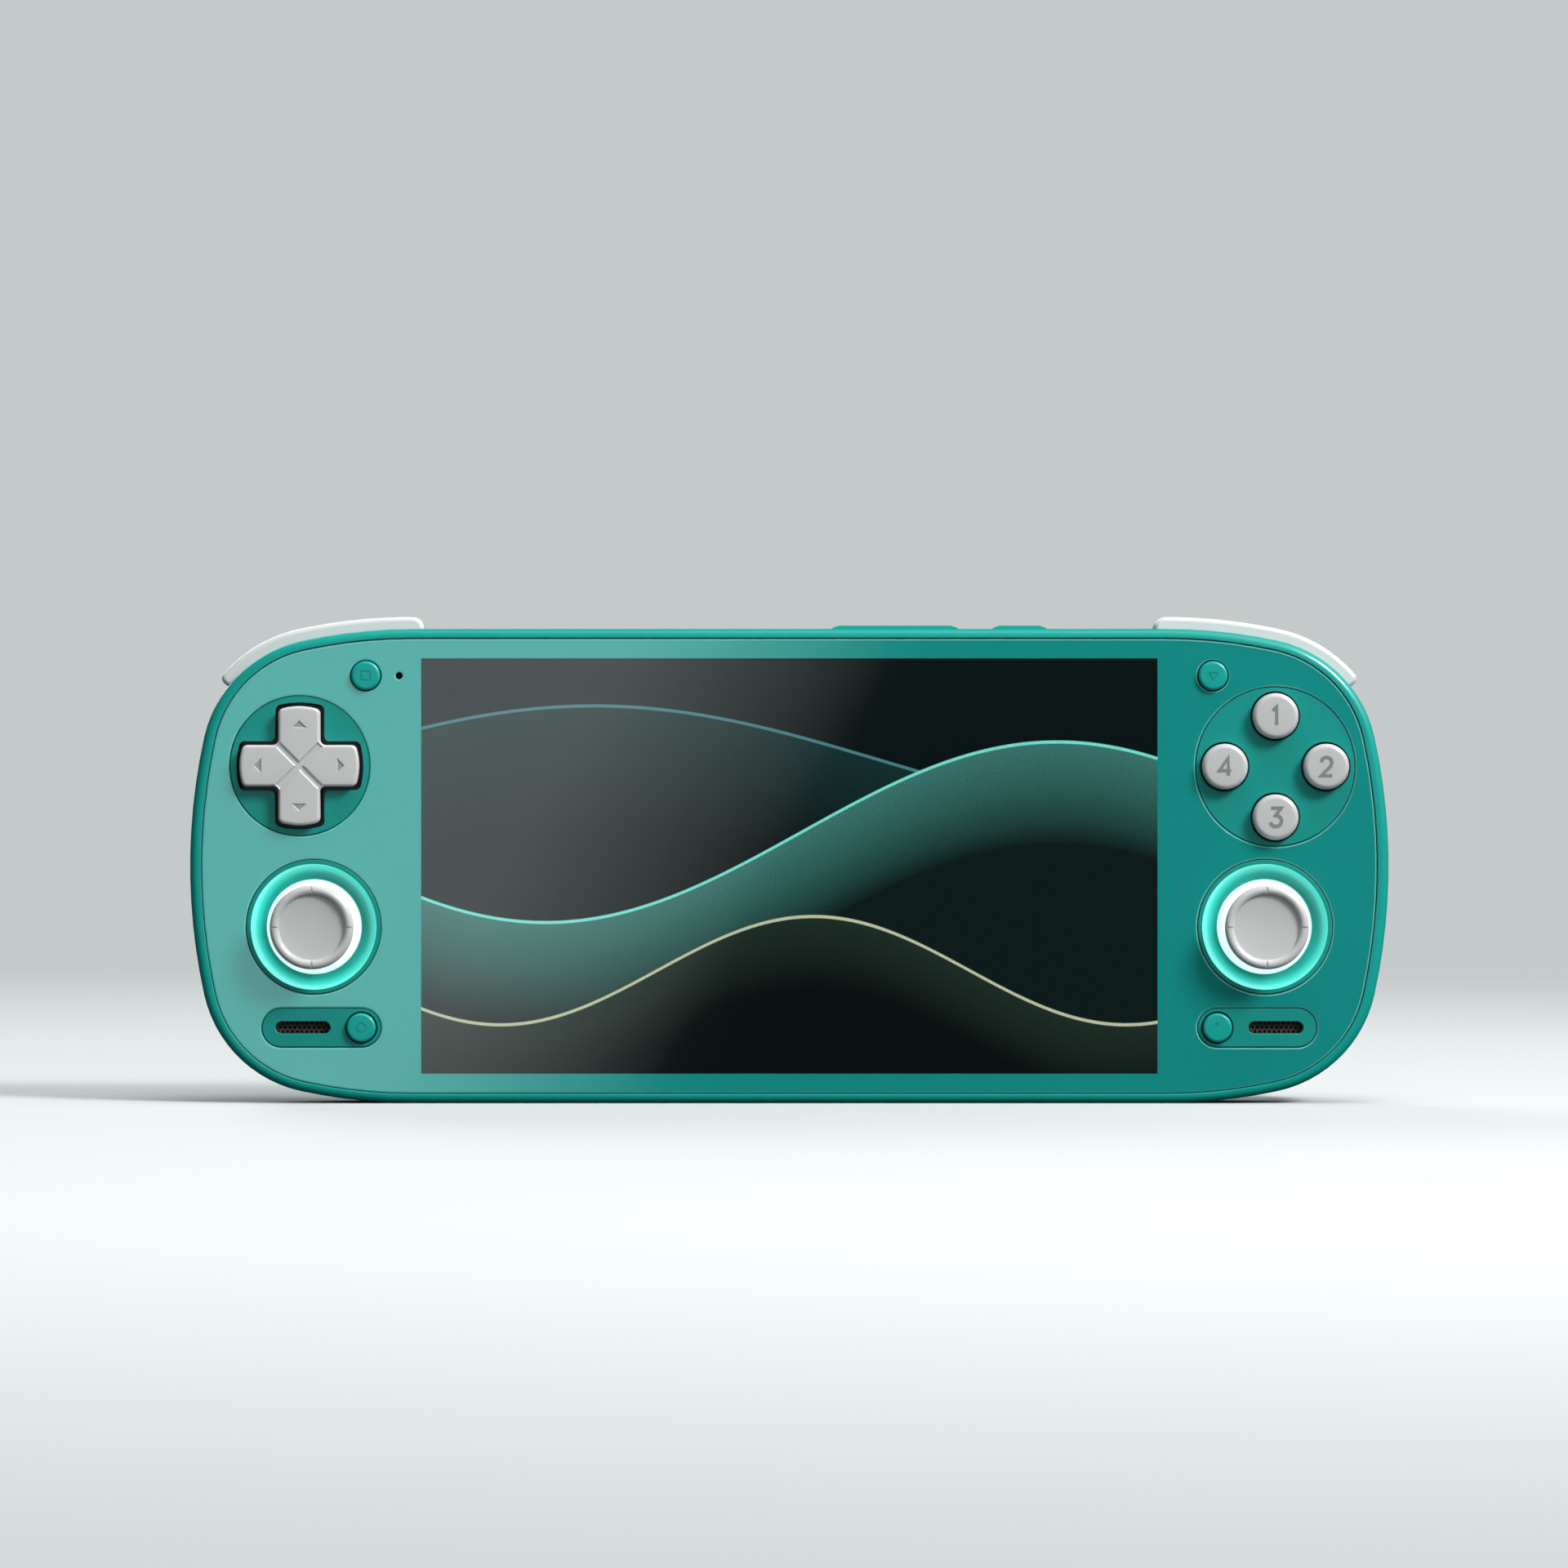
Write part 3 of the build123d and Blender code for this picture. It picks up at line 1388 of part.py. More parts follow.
save("front_frame", make_front_frame())
save("rear_shell", make_rear_shell())
save("front_glass", make_glass())
save("colour_film", make_film())
save("display_panel", make_display())
save("display_tray", make_tray())
save("chassis_plate", make_chassis())
save("main_board", make_main_board())
save("battery", make_battery())
save("heat_sink", make_heat_sink())
save("fan_housing", make_fan_housing())
save("fan_rotor", make_fan_rotor())
save("dpad_well", make_dpad_well())
save("dpad", make_dpad())
save("dpad_pivot", make_dpad_pivot())
save("dpad_membrane", make_dpad_membrane())
save("button_well", make_button_well())
save("button_membrane", make_button_membrane())
for name, place in cluster_places().items():
    save(name, make_face_button(*place))
for name, place in small_button_places().items():
    save(name, make_small_button(name, *place))
for word, side in (("left", -1), ("right", 1)):
    save(word + "_control_board", make_control_board(side))
    save(word + "_stick_well", make_stick_well(side))
    save(word + "_light_ring", make_light_ring(side))
    save(word + "_stick_dome", make_stick_dome(side))
    save(word + "_stick_ring", make_stick_ring(side))
    save(word + "_stick_base", make_stick_base(side))
    save(word + "_stick_cap", make_stick_cap(side))
    save(word + "_insert", make_insert(side))
    save(word + "_speaker", make_speaker(side))
    save(word + "_bumper", make_bumper(side))
    save(word + "_trigger", make_trigger(side))
save("speaker_meshes", Compound(children=[make_mesh(side) for side in (-1, 1)]))
save("trigger_pins", Compound(children=[make_trigger_pin(side) for side in (-1, 1)]))
save("trigger_springs", Compound(children=[make_trigger_spring(side) for side in (-1, 1)]))
save("rear_screws", make_rear_screws())
save("board_screws", make_board_screws())
save("volume_key", make_key(volume_key_place, volume_key_length, volume_dimple_share))
save("power_key", make_key(power_key_place, power_key_length, power_dimple_share))
save("tact_switches", make_switches())
save("usb_socket", make_usb_socket())
save("audio_jack", make_audio_jack())
save("card_slot", make_card_slot())
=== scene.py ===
import json
import math

import bmesh
import bpy
import numpy as np
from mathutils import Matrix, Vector

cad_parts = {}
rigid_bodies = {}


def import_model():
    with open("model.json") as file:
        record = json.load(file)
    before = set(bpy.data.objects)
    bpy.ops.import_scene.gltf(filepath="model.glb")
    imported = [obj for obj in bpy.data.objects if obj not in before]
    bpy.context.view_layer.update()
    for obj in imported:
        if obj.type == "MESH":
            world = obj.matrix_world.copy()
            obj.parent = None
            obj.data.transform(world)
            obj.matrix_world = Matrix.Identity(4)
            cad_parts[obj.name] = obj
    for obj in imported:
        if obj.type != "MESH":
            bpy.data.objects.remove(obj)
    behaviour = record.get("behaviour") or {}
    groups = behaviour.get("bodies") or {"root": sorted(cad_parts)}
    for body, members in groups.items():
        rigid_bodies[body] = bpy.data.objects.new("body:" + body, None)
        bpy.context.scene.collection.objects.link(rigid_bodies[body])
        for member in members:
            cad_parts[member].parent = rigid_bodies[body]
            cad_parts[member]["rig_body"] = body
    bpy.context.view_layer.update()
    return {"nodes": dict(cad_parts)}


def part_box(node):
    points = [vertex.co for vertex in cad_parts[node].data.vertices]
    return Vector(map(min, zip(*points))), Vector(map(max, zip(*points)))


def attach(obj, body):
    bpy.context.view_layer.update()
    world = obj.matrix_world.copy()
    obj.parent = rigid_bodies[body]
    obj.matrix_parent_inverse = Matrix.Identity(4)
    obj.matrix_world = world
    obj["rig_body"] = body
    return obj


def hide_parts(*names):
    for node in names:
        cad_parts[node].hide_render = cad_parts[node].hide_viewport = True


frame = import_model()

scene = bpy.context.scene
nodes = frame["nodes"]
print("frame loaded:", len(nodes), "nodes")


# Helpers
def linear(hexColour):
    # sRGB hex to linear light
    parts = [int(hexColour[i:i + 2], 16) / 255 for i in (1, 3, 5)]
    return tuple(c / 12.92 if c <= 0.04045 else ((c + 0.055) / 1.055) ** 2.4 for c in parts) + (1.0,)


def addNode(tree, kind, inputs=None, **settings):
    # one node: settings are its properties, inputs are values, or sockets to link from
    node = tree.nodes.new(kind)
    for key, value in settings.items():
        setattr(node, key, value)
    for key, value in (inputs or {}).items():
        if isinstance(value, bpy.types.NodeSocket):
            tree.links.new(value, node.inputs[key])
        else:
            node.inputs[key].default_value = value
    return node


def newMaterial(name):
    # an empty material, its tree, and the place in the object's own space
    material = bpy.data.materials.new(name)
    material.use_nodes = True
    tree = material.node_tree
    tree.nodes.clear()
    return material, tree, addNode(tree, "ShaderNodeTexCoord").outputs["Object"]


def setRamp(ramp, stops):
    # stops are (place, hex colour)
    elements = ramp.color_ramp.elements
    while len(elements) < len(stops):
        elements.new(0.5)
    for element, (place, colour) in zip(elements, stops):
        element.position = place
        element.color = linear(colour)


shading = {"crease": 28.0, "weld": 0.000002, "sameLevel": 0.00001}      # degrees, metres, metres


def smoothRounds(mesh):
    # rounds shade smooth, and edges sharper than the crease stay crisp
    mesh.polygons.foreach_set("use_smooth", [True] * len(mesh.polygons))
    mesh.set_sharp_from_angle(angle=math.radians(shading["crease"]))


def placePiece(name, mesh, body):
    piece = bpy.data.objects.new(name, mesh)
    scene.collection.objects.link(piece)
    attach(piece, body)
    return piece


nudges = {      # node: side and metres. Glass bends light, so its back and the print look nearer than they are
    "front_glass": ("back", -0.0006),
    "colour_film": ("front", -0.00052),
}


def crispCopy(node):
    # the same shape with its loose triangles joined, flat faces kept flat and rounds kept smooth
    mesh = nodes[node].data.copy()
    if node in nudges:
        side, step = nudges[node]
        spots = np.empty(len(mesh.vertices) * 3)
        mesh.vertices.foreach_get("co", spots)
        spots = spots.reshape(-1, 3)
        depth = spots[:, 1]
        level = depth.max() if side == "back" else depth.min()
        spots[np.abs(depth - level) < shading["sameLevel"], 1] += step
        mesh.vertices.foreach_set("co", spots.ravel())
    mesh.name = node + "Skin"
    joined = bmesh.new()
    joined.from_mesh(mesh)
    bmesh.ops.remove_doubles(joined, verts=joined.verts, dist=shading["weld"])
    joined.to_mesh(mesh)
    joined.free()
    if "custom_normal" in mesh.attributes:
        mesh.attributes.remove(mesh.attributes["custom_normal"])
    smoothRounds(mesh)
    piece = placePiece(node + "_skin", mesh, nodes[node]["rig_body"])
    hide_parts(node)
    return piece


def closedPiece(name, verts, faces, node, material):
    # a closed shape with its faces turned outward: it rides with a node and takes the material it is given
    mesh = bpy.data.meshes.new(name)
    mesh.from_pydata(verts.tolist(), [], faces)
    checked = bmesh.new()
    checked.from_mesh(mesh)
    bmesh.ops.recalc_face_normals(checked, faces=checked.faces)
    checked.to_mesh(mesh)
    checked.free()
    smoothRounds(mesh)
    mesh.materials.append(material)
    return placePiece(name, mesh, nodes[node]["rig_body"])


def bandFaces(first, second, count):
    # quads between two rings of count points that start at first and second
    return [[first + i, first + (i + 1) % count, second + (i + 1) % count, second + i] for i in range(count)]


# Moulded plastics
moulded = {
    # name: base colour, shade of its slow variation, roughness, coat, grain size mm, bump height mm
    "glossTealAbs": ("#0aa094", "#09958a", 0.32, 0.30, 0.09, 0.0012),      # rim and rear cover
    "satinTealAbs": ("#03948b", "#038b82", 0.38, 0.15, 0.07, 0.0012),      # inserts
    "buttonTealAbs": ("#05a69b", "#059c91", 0.36, 0.2, 0.07, 0.0012),      # small buttons and keys
    "lightGreyAbs": ("#c4c4c4", "#bcbcbc", 0.34, 0.25, 0.06, 0.0012),      # round buttons
    "padGreyAbs": ("#cccccc", "#c4c4c4", 0.34, 0.25, 0.06, 0.0012),        # direction pad
    "whiteAbs": ("#d6d9d8", "#cfd2d1", 0.36, 0.20, 0.08, 0.0015),          # bumpers and triggers
    "greyElastomer": ("#c6c6c6", "#bfbfbf", 0.34, 0.2, 0.05, 0.0012),      # thumb caps
    "blackNylon": ("#141617", "#0e1011", 0.55, 0.0, 0.10, 0.0030),         # inner mouldings
    "greySilicone": ("#8f9494", "#858a8a", 0.60, 0.0, 0.10, 0.0015),       # membranes
}
mouldedLook = {      # what all mouldings share; the gap shade levels are y levels behind which shade is painted black, for the dark gaps round the buttons
    "toneScale": 35.0, "smoother": 0.04, "rougher": 0.05, "bump": 0.25, "ior": 1.52, "coatRoughness": 0.12,
    "gapShadeColour": "#07090a", "markGapShadeFrom": -0.0062, "greyGapShadeFrom": -0.0066,
    "facingFront": -0.995,      # a floor square to the front has its normal's y below this
}
noiseSpan = (0.3, 0.7)      # where most of a noise lies
paintedShadeLevels = {      # floor levels y of the painted shade, and how bright the shaded floor is beside the face
    "pad": ((-0.00948, -0.00942, 0.68),),
    "mark": ((-0.00836, -0.0083, 0.8),),
}
# the sunk arrows, which get painted shade: metres from the pad's middle and along y, and how bright the painted shade
# leaves them beside the face
padArrow = {"away": 0.0067, "reach": 0.0011, "half": 0.0017, "top": -0.00958, "floor": -0.00926, "tone": 0.88}


def arrowShadeMask(tree, place, depth):
    # 1 inside the four sunk arrows, where shade is painted: a box round each, below the face
    low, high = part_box("dpad")
    centre = (low + high) / 2
    here = addNode(tree, "ShaderNodeMapping", {"Vector": place, "Location": (-centre.x, 0, -centre.z)})
    spread = addNode(tree, "ShaderNodeVectorMath", {0: here.outputs[0]}, operation="ABSOLUTE")
    split = addNode(tree, "ShaderNodeSeparateXYZ", {"Vector": spread.outputs[0]})
    far = addNode(tree, "ShaderNodeMath", {0: split.outputs["X"], 1: split.outputs["Z"]}, operation="MAXIMUM")
    near = addNode(tree, "ShaderNodeMath", {0: split.outputs["X"], 1: split.outputs["Z"]}, operation="MINIMUM")
    middle = (padArrow["top"] + padArrow["floor"]) / 2
    along = addNode(tree, "ShaderNodeMath", {0: far.outputs[0], 1: padArrow["away"], 2: padArrow["reach"]},
                    operation="COMPARE")
    across = addNode(tree, "ShaderNodeMath", {0: near.outputs[0], 1: padArrow["half"]}, operation="LESS_THAN")
    below = addNode(tree, "ShaderNodeMath", {0: depth, 1: middle, 2: padArrow["floor"] - middle},
                    operation="COMPARE")
    both = addNode(tree, "ShaderNodeMath", {0: along.outputs[0], 1: across.outputs[0]}, operation="MULTIPLY")
    return addNode(tree, "ShaderNodeMath", {0: both.outputs[0], 1: below.outputs[0]}, operation="MULTIPLY")


def paintShade(tree, colour, mask, tone):
    # painted shade: the colour times the tone where the mask is 1
    darker = addNode(tree, "ShaderNodeMix", {"Factor": 1.0, "A": colour, "B": (tone, tone, tone, 1)},
                     data_type="RGBA", blend_type="MULTIPLY").outputs["Result"]
    return addNode(tree, "ShaderNodeMix", {"Factor": mask.outputs[0], "A": colour, "B": darker},
                   data_type="RGBA").outputs["Result"]


def makeMoulded(name, paintedGapShadeFrom=None, sunk=None):
    # injection moulded part: even colour with a faint flow tone, a fine eroded grain in the gloss, and where asked
    # painted shade on sunk floors and black painted shade behind the front
    base, shade, roughness, coat, grain, height = moulded[name]
    material, tree, place = newMaterial(name if paintedGapShadeFrom is None else name + "PaintedGapShade" + (sunk or ""))
    tone = addNode(tree, "ShaderNodeTexNoise", {"Vector": place, "Scale": mouldedLook["toneScale"], "Detail": 3.0})
    colour = addNode(tree, "ShaderNodeMix", {"Factor": tone.outputs["Fac"], "A": linear(base), "B": linear(shade)},
                     data_type="RGBA").outputs["Result"]
    depth = addNode(tree, "ShaderNodeSeparateXYZ", {"Vector": place}).outputs["Y"]
    if sunk is not None:      # painted shade: the floors of the sunk arrows, grooves and marks are darkened
        normal = addNode(tree, "ShaderNodeTexCoord").outputs["Normal"]
        turned = addNode(tree, "ShaderNodeSeparateXYZ", {"Vector": normal})
        square = addNode(tree, "ShaderNodeMath", {0: turned.outputs["Y"], 1: mouldedLook["facingFront"]},
                         operation="LESS_THAN")
        for first, last, share in paintedShadeLevels[sunk]:
            level = addNode(tree, "ShaderNodeMath", {0: depth, 1: (first + last) / 2, 2: (last - first) / 2},
                            operation="COMPARE")
            floor = addNode(tree, "ShaderNodeMath", {0: square.outputs[0], 1: level.outputs[0]},
                            operation="MULTIPLY")
            colour = paintShade(tree, colour, floor, share)
    # painted shade: the sunk arrows are darkened by the arrow tone
    if sunk == "pad":
        colour = paintShade(tree, colour, arrowShadeMask(tree, place, depth), padArrow["tone"])
    if paintedGapShadeFrom is not None:      # painted shade: black behind the visible front, so the gap round the button reads dark
        behind = addNode(tree, "ShaderNodeMath", {0: depth, 1: paintedGapShadeFrom}, operation="GREATER_THAN")
        colour = addNode(tree, "ShaderNodeMix", {
            "Factor": behind.outputs[0], "A": colour, "B": linear(mouldedLook["gapShadeColour"])},
            data_type="RGBA").outputs["Result"]
    # two grains to a wave of the noise
    speck = addNode(tree, "ShaderNodeTexNoise", {"Vector": place, "Scale": 1000 / grain / 2, "Detail": 2.0})
    rough = addNode(tree, "ShaderNodeMapRange", {
        "Value": speck.outputs["Fac"], "From Min": noiseSpan[0], "From Max": noiseSpan[1],
        "To Min": roughness - mouldedLook["smoother"], "To Max": roughness + mouldedLook["rougher"]})
    bump = addNode(tree, "ShaderNodeBump", {"Height": speck.outputs["Fac"], "Strength": mouldedLook["bump"],
                                            "Distance": height / 1000})
    shader = addNode(tree, "ShaderNodeBsdfPrincipled", {
        "Base Color": colour, "Roughness": rough.outputs["Result"], "IOR": mouldedLook["ior"],
        "Coat Weight": coat, "Coat Roughness": mouldedLook["coatRoughness"], "Normal": bump.outputs["Normal"]})
    addNode(tree, "ShaderNodeOutputMaterial", {"Surface": shader.outputs[0]})
    return material


glossTeal = makeMoulded("glossTealAbs")
satinTeal = makeMoulded("satinTealAbs")
tealButton = makeMoulded("buttonTealAbs", paintedGapShadeFrom=mouldedLook["markGapShadeFrom"], sunk="mark")
tealKey = makeMoulded("buttonTealAbs")
greyButton = makeMoulded("lightGreyAbs", paintedGapShadeFrom=mouldedLook["greyGapShadeFrom"])
greyPad = makeMoulded("padGreyAbs", paintedGapShadeFrom=mouldedLook["greyGapShadeFrom"], sunk="pad")
whitePlastic = makeMoulded("whiteAbs")
thumbRubber = makeMoulded("greyElastomer")
blackPlastic = makeMoulded("blackNylon")
silicone = makeMoulded("greySilicone")
print("plastics made")


# Glass, print and display
glassLook = {
    "tint": "#ffffff", "shine": "#ffffff", "roughness": 0.03,
    "reflects": 0.04, "falloff": 5.0,      # 4% a surface is an IOR of 1.5, and the power by which it grows
    "waverScale": 12.0, "waver": 0.05, "waverHeight": 0.00002,
    "ground": 0.42, "groundColour": "#8fd8d0", "groundRoughness": 0.6,      # frosted share and look of the edges
    "groundSpan": 0.2,      # how far an edge's normal may lie from 45 degrees, as a length
}


def makeGlass():
    # chemically hardened cover glass: clear, with a sharp pale reflection on top
    material, tree, place = newMaterial("coverGlass")
    waver = addNode(tree, "ShaderNodeTexNoise", {
        "Vector": place, "Scale": glassLook["waverScale"], "Detail": 1.0})
    bump = addNode(tree, "ShaderNodeBump", {"Height": waver.outputs["Fac"], "Strength": glassLook["waver"],
                                            "Distance": glassLook["waverHeight"]})
    facing = addNode(tree, "ShaderNodeLayerWeight", {"Blend": 0.5, "Normal": bump.outputs["Normal"]})
    grazing = addNode(tree, "ShaderNodeMath", {0: facing.outputs["Facing"], 1: glassLook["falloff"]},
                      operation="POWER")
    fresnel = addNode(tree, "ShaderNodeMath", {0: grazing.outputs[0], 1: 1 - glassLook["reflects"],
                                               2: glassLook["reflects"]}, operation="MULTIPLY_ADD")
    clear = addNode(tree, "ShaderNodeBsdfTransparent", {"Color": linear(glassLook["tint"])})
    shine = addNode(tree, "ShaderNodeBsdfGlossy", {
        "Color": linear(glassLook["shine"]), "Roughness": glassLook["roughness"],
        "Normal": bump.outputs["Normal"]})
    mix = addNode(tree, "ShaderNodeMixShader", {0: fresnel.outputs[0], 1: clear.outputs[0], 2: shine.outputs[0]})
    # the small slopes round the holes and the outline are ground matt, and catch the light
    normal = addNode(tree, "ShaderNodeTexCoord").outputs["Normal"]
    turned = addNode(tree, "ShaderNodeSeparateXYZ", {"Vector": normal})
    slope = addNode(tree, "ShaderNodeMath", {
        0: turned.outputs["Y"], 1: -math.sqrt(0.5), 2: glassLook["groundSpan"]}, operation="COMPARE")
    share = addNode(tree, "ShaderNodeMath", {0: slope.outputs[0], 1: glassLook["ground"]}, operation="MULTIPLY")
    frost = addNode(tree, "ShaderNodeBsdfDiffuse", {"Color": linear(glassLook["groundColour"]),
                                                    "Roughness": glassLook["groundRoughness"]})
    mix = addNode(tree, "ShaderNodeMixShader", {0: share.outputs[0], 1: mix.outputs[0], 2: frost.outputs[0]})
    addNode(tree, "ShaderNodeOutputMaterial", {"Surface": mix.outputs[0]})
    return material


inkLook = {
    "colour": "#1fafa8", "shade": "#1ba59e", "roughness": 0.06, "flakes": 0.28,      # flakes: share of mica
    "toneScale": 20.0, "ditherScale": 4000.0, "ior": 1.5,
}


def makePrint():
    # screen-printed pearl ink on polyester film: fine mica flakes give a teal sheen under the glass
    material, tree, place = newMaterial("tealInkFilm")
    tone = addNode(tree, "ShaderNodeTexNoise", {"Vector": place, "Scale": inkLook["toneScale"], "Detail": 2.0})
    dither = addNode(tree, "ShaderNodeTexNoise", {"Vector": place, "Scale": inkLook["ditherScale"], "Detail": 1.0})
    both = addNode(tree, "ShaderNodeMath", {0: tone.outputs["Fac"], 1: dither.outputs["Fac"]}, operation="MULTIPLY")
    colour = addNode(tree, "ShaderNodeMix", {"Factor": both.outputs[0], "A": linear(inkLook["colour"]),
                                             "B": linear(inkLook["shade"])}, data_type="RGBA")
    shader = addNode(tree, "ShaderNodeBsdfPrincipled", {
        "Base Color": colour.outputs["Result"], "Roughness": inkLook["roughness"], "Metallic": inkLook["flakes"],
        "IOR": inkLook["ior"]})
    addNode(tree, "ShaderNodeOutputMaterial", {"Surface": shader.outputs[0]})
    return material


picture = {
    "backColours": ("#0a1515", "#060d0e"),
    "waves": (
        # rise of the crest mm, height mm, length mm, shift mm, crest colour, colour under the crest, fade mm
        (57.0, 9.0, 190.0, 80.0, "#4a8089", "#12302f", 20.0),
        (45.0, 15.0, 170.0, -2.0, "#78e2d4", "#3a766e", 17.0),
        (22.0, 9.0, 104.0, 22.0, "#bfc6a6", "#1e2e27", 12.0),
    ),
    "fadeFrom": 5.0, "fadeTo": 75.0, "deepest": 0.04,      # heights mm, and the colour left at a hill's foot
    "lineWidth": 0.5, "soft": 0.08,      # mm
    "grain": 0.12, "grainScale": 3200.0, "unlit": "#020303", "roughness": 0.3, "ior": 1.45,
}


def makePicture():
    # lit display behind its polariser: a plain wallpaper of three layered hills with fine crest lines
    material, tree, place = newMaterial("litDisplay")
    split = addNode(tree, "ShaderNodeSeparateXYZ", {"Vector": place})
    across = addNode(tree, "ShaderNodeMath", {0: split.outputs["X"], 1: 1000.0}, operation="MULTIPLY").outputs[0]
    up = addNode(tree, "ShaderNodeMath", {0: split.outputs["Z"], 1: 1000.0}, operation="MULTIPLY").outputs[0]
    fade = addNode(tree, "ShaderNodeMapRange", {
        "Value": up, "From Min": picture["fadeFrom"], "From Max": picture["fadeTo"]})
    sky, low = picture["backColours"]
    colour = addNode(tree, "ShaderNodeMix", {"Factor": fade.outputs["Result"], "A": linear(low), "B": linear(sky)},
                     data_type="RGBA").outputs["Result"]
    for rise, height, length, shift, crest, under, depth in picture["waves"]:
        turn = addNode(tree, "ShaderNodeMath", {0: across, 1: 2 * math.pi / length, 2: shift * 2 * math.pi / length},
                       operation="MULTIPLY_ADD")
        wave = addNode(tree, "ShaderNodeMath", {0: turn.outputs[0]}, operation="SINE")
        line = addNode(tree, "ShaderNodeMath", {0: wave.outputs[0], 1: height, 2: rise}, operation="MULTIPLY_ADD")
        below = addNode(tree, "ShaderNodeMath", {0: line.outputs[0], 1: up}, operation="SUBTRACT").outputs[0]
        body = addNode(tree, "ShaderNodeMapRange", {"Value": below, "From Min": 0.0, "From Max": depth,
                                                    "To Min": 1.0, "To Max": picture["deepest"]})
        hill = addNode(tree, "ShaderNodeMix", {"Factor": body.outputs["Result"], "A": linear(low),
                                               "B": linear(under)}, data_type="RGBA")
        inside = addNode(tree, "ShaderNodeMapRange", {
            "Value": below, "From Min": -picture["soft"], "From Max": picture["soft"]})
        colour = addNode(tree, "ShaderNodeMix", {"Factor": inside.outputs["Result"], "A": colour,
                                                 "B": hill.outputs["Result"]}, data_type="RGBA").outputs["Result"]
        off = addNode(tree, "ShaderNodeMath", {0: below}, operation="ABSOLUTE")
        edge = addNode(tree, "ShaderNodeMapRange", {
            "Value": off.outputs[0], "From Min": picture["lineWidth"] / 2 - picture["soft"],
            "From Max": picture["lineWidth"] / 2 + picture["soft"], "To Min": 1.0, "To Max": 0.0})
        colour = addNode(tree, "ShaderNodeMix", {"Factor": edge.outputs["Result"], "A": colour,
                                                 "B": linear(crest)}, data_type="RGBA").outputs["Result"]
    grain = addNode(tree, "ShaderNodeTexNoise", {"Vector": place, "Scale": picture["grainScale"], "Detail": 1.0})
    level = addNode(tree, "ShaderNodeMapRange", {
        "Value": grain.outputs["Fac"], "From Min": noiseSpan[0], "From Max": noiseSpan[1],
        "To Min": 1 - picture["grain"], "To Max": 1 + picture["grain"]})
    lit = addNode(tree, "ShaderNodeMix", {"Factor": 1.0, "A": colour, "B": level.outputs["Result"]},
                  data_type="RGBA", blend_type="MULTIPLY")
    # clear glue joins the display to the glass, so it has no shine of its own
    shader = addNode(tree, "ShaderNodeBsdfPrincipled", {
        "Base Color": linear(picture["unlit"]), "Roughness": picture["roughness"], "IOR": picture["ior"],
        "Specular IOR Level": 0.0,
        "Emission Color": lit.outputs["Result"], "Emission Strength": 1.0})
    addNode(tree, "ShaderNodeOutputMaterial", {"Surface": shader.outputs[0]})
    return material


coverGlass = makeGlass()
tealPrint = makePrint()
litDisplay = makePicture()
print("glass, print and display made")


# Sticks: lit dish, white dust dome
stick = {
    "x": 0.079, "z": 0.0293, "inner": 0.0079, "outer": 0.0104, "rimMargin": 0.00004,
    "dishColour": "#138f84", "dishRoughness": 0.35, "ior": 1.58, "unlit": "#000000",
    "glow": ((0.0, "#07433c"), (0.35, "#0c6f65"), (0.75, "#2ac6b6"), (1.0, "#7df3e6")), "strength": 0.85,
    "lean": (-0.16, 0.0, -0.08),      # the glow is stronger at the lower left
    "domeColour": "#e8ecec", "domeRoughness": 0.3, "domeGlow": ("#eefffd", "#f6fffe"), "domeStrength": 0.75,
    "cloudScale": 120.0,
}


def makeDish(side):
    # translucent polycarbonate dish over a ring of lamps: brightest at its rim, deep teal inside
    material, tree, place = newMaterial("litDish" + ("Left" if side < 0 else "Right"))
    flat = addNode(tree, "ShaderNodeMapping", {"Vector": place, "Location": (-side * stick["x"], 0, -stick["z"]),
                                               "Scale": (1, 0, 1)})
    away = addNode(tree, "ShaderNodeVectorMath", {0: flat.outputs[0]}, operation="LENGTH").outputs["Value"]
    share = addNode(tree, "ShaderNodeMapRange", {"Value": away, "From Min": stick["inner"],
                                                 "From Max": stick["outer"]})
    outward = addNode(tree, "ShaderNodeVectorMath", {0: flat.outputs[0]}, operation="NORMALIZE").outputs[0]
    leaning = addNode(tree, "ShaderNodeVectorMath", {0: outward, 1: stick["lean"]},
                      operation="DOT_PRODUCT").outputs["Value"]
    share = addNode(tree, "ShaderNodeMath", {0: share.outputs["Result"], 1: leaning}, operation="ADD")
    glow = addNode(tree, "ShaderNodeValToRGB", {"Fac": share.outputs[0]})
    setRamp(glow, stick["glow"])
    rim = addNode(tree, "ShaderNodeMath", {0: away, 1: stick["outer"] + stick["rimMargin"]},
                  operation="LESS_THAN")
    lit = addNode(tree, "ShaderNodeMix", {"Factor": rim.outputs[0], "A": linear(stick["unlit"]),
                                          "B": glow.outputs["Color"]}, data_type="RGBA")
    shader = addNode(tree, "ShaderNodeBsdfPrincipled", {
        "Base Color": linear(stick["dishColour"]), "Roughness": stick["dishRoughness"], "IOR": stick["ior"],
        "Emission Color": lit.outputs["Result"], "Emission Strength": stick["strength"]})
    addNode(tree, "ShaderNodeOutputMaterial", {"Surface": shader.outputs[0]})
    return material


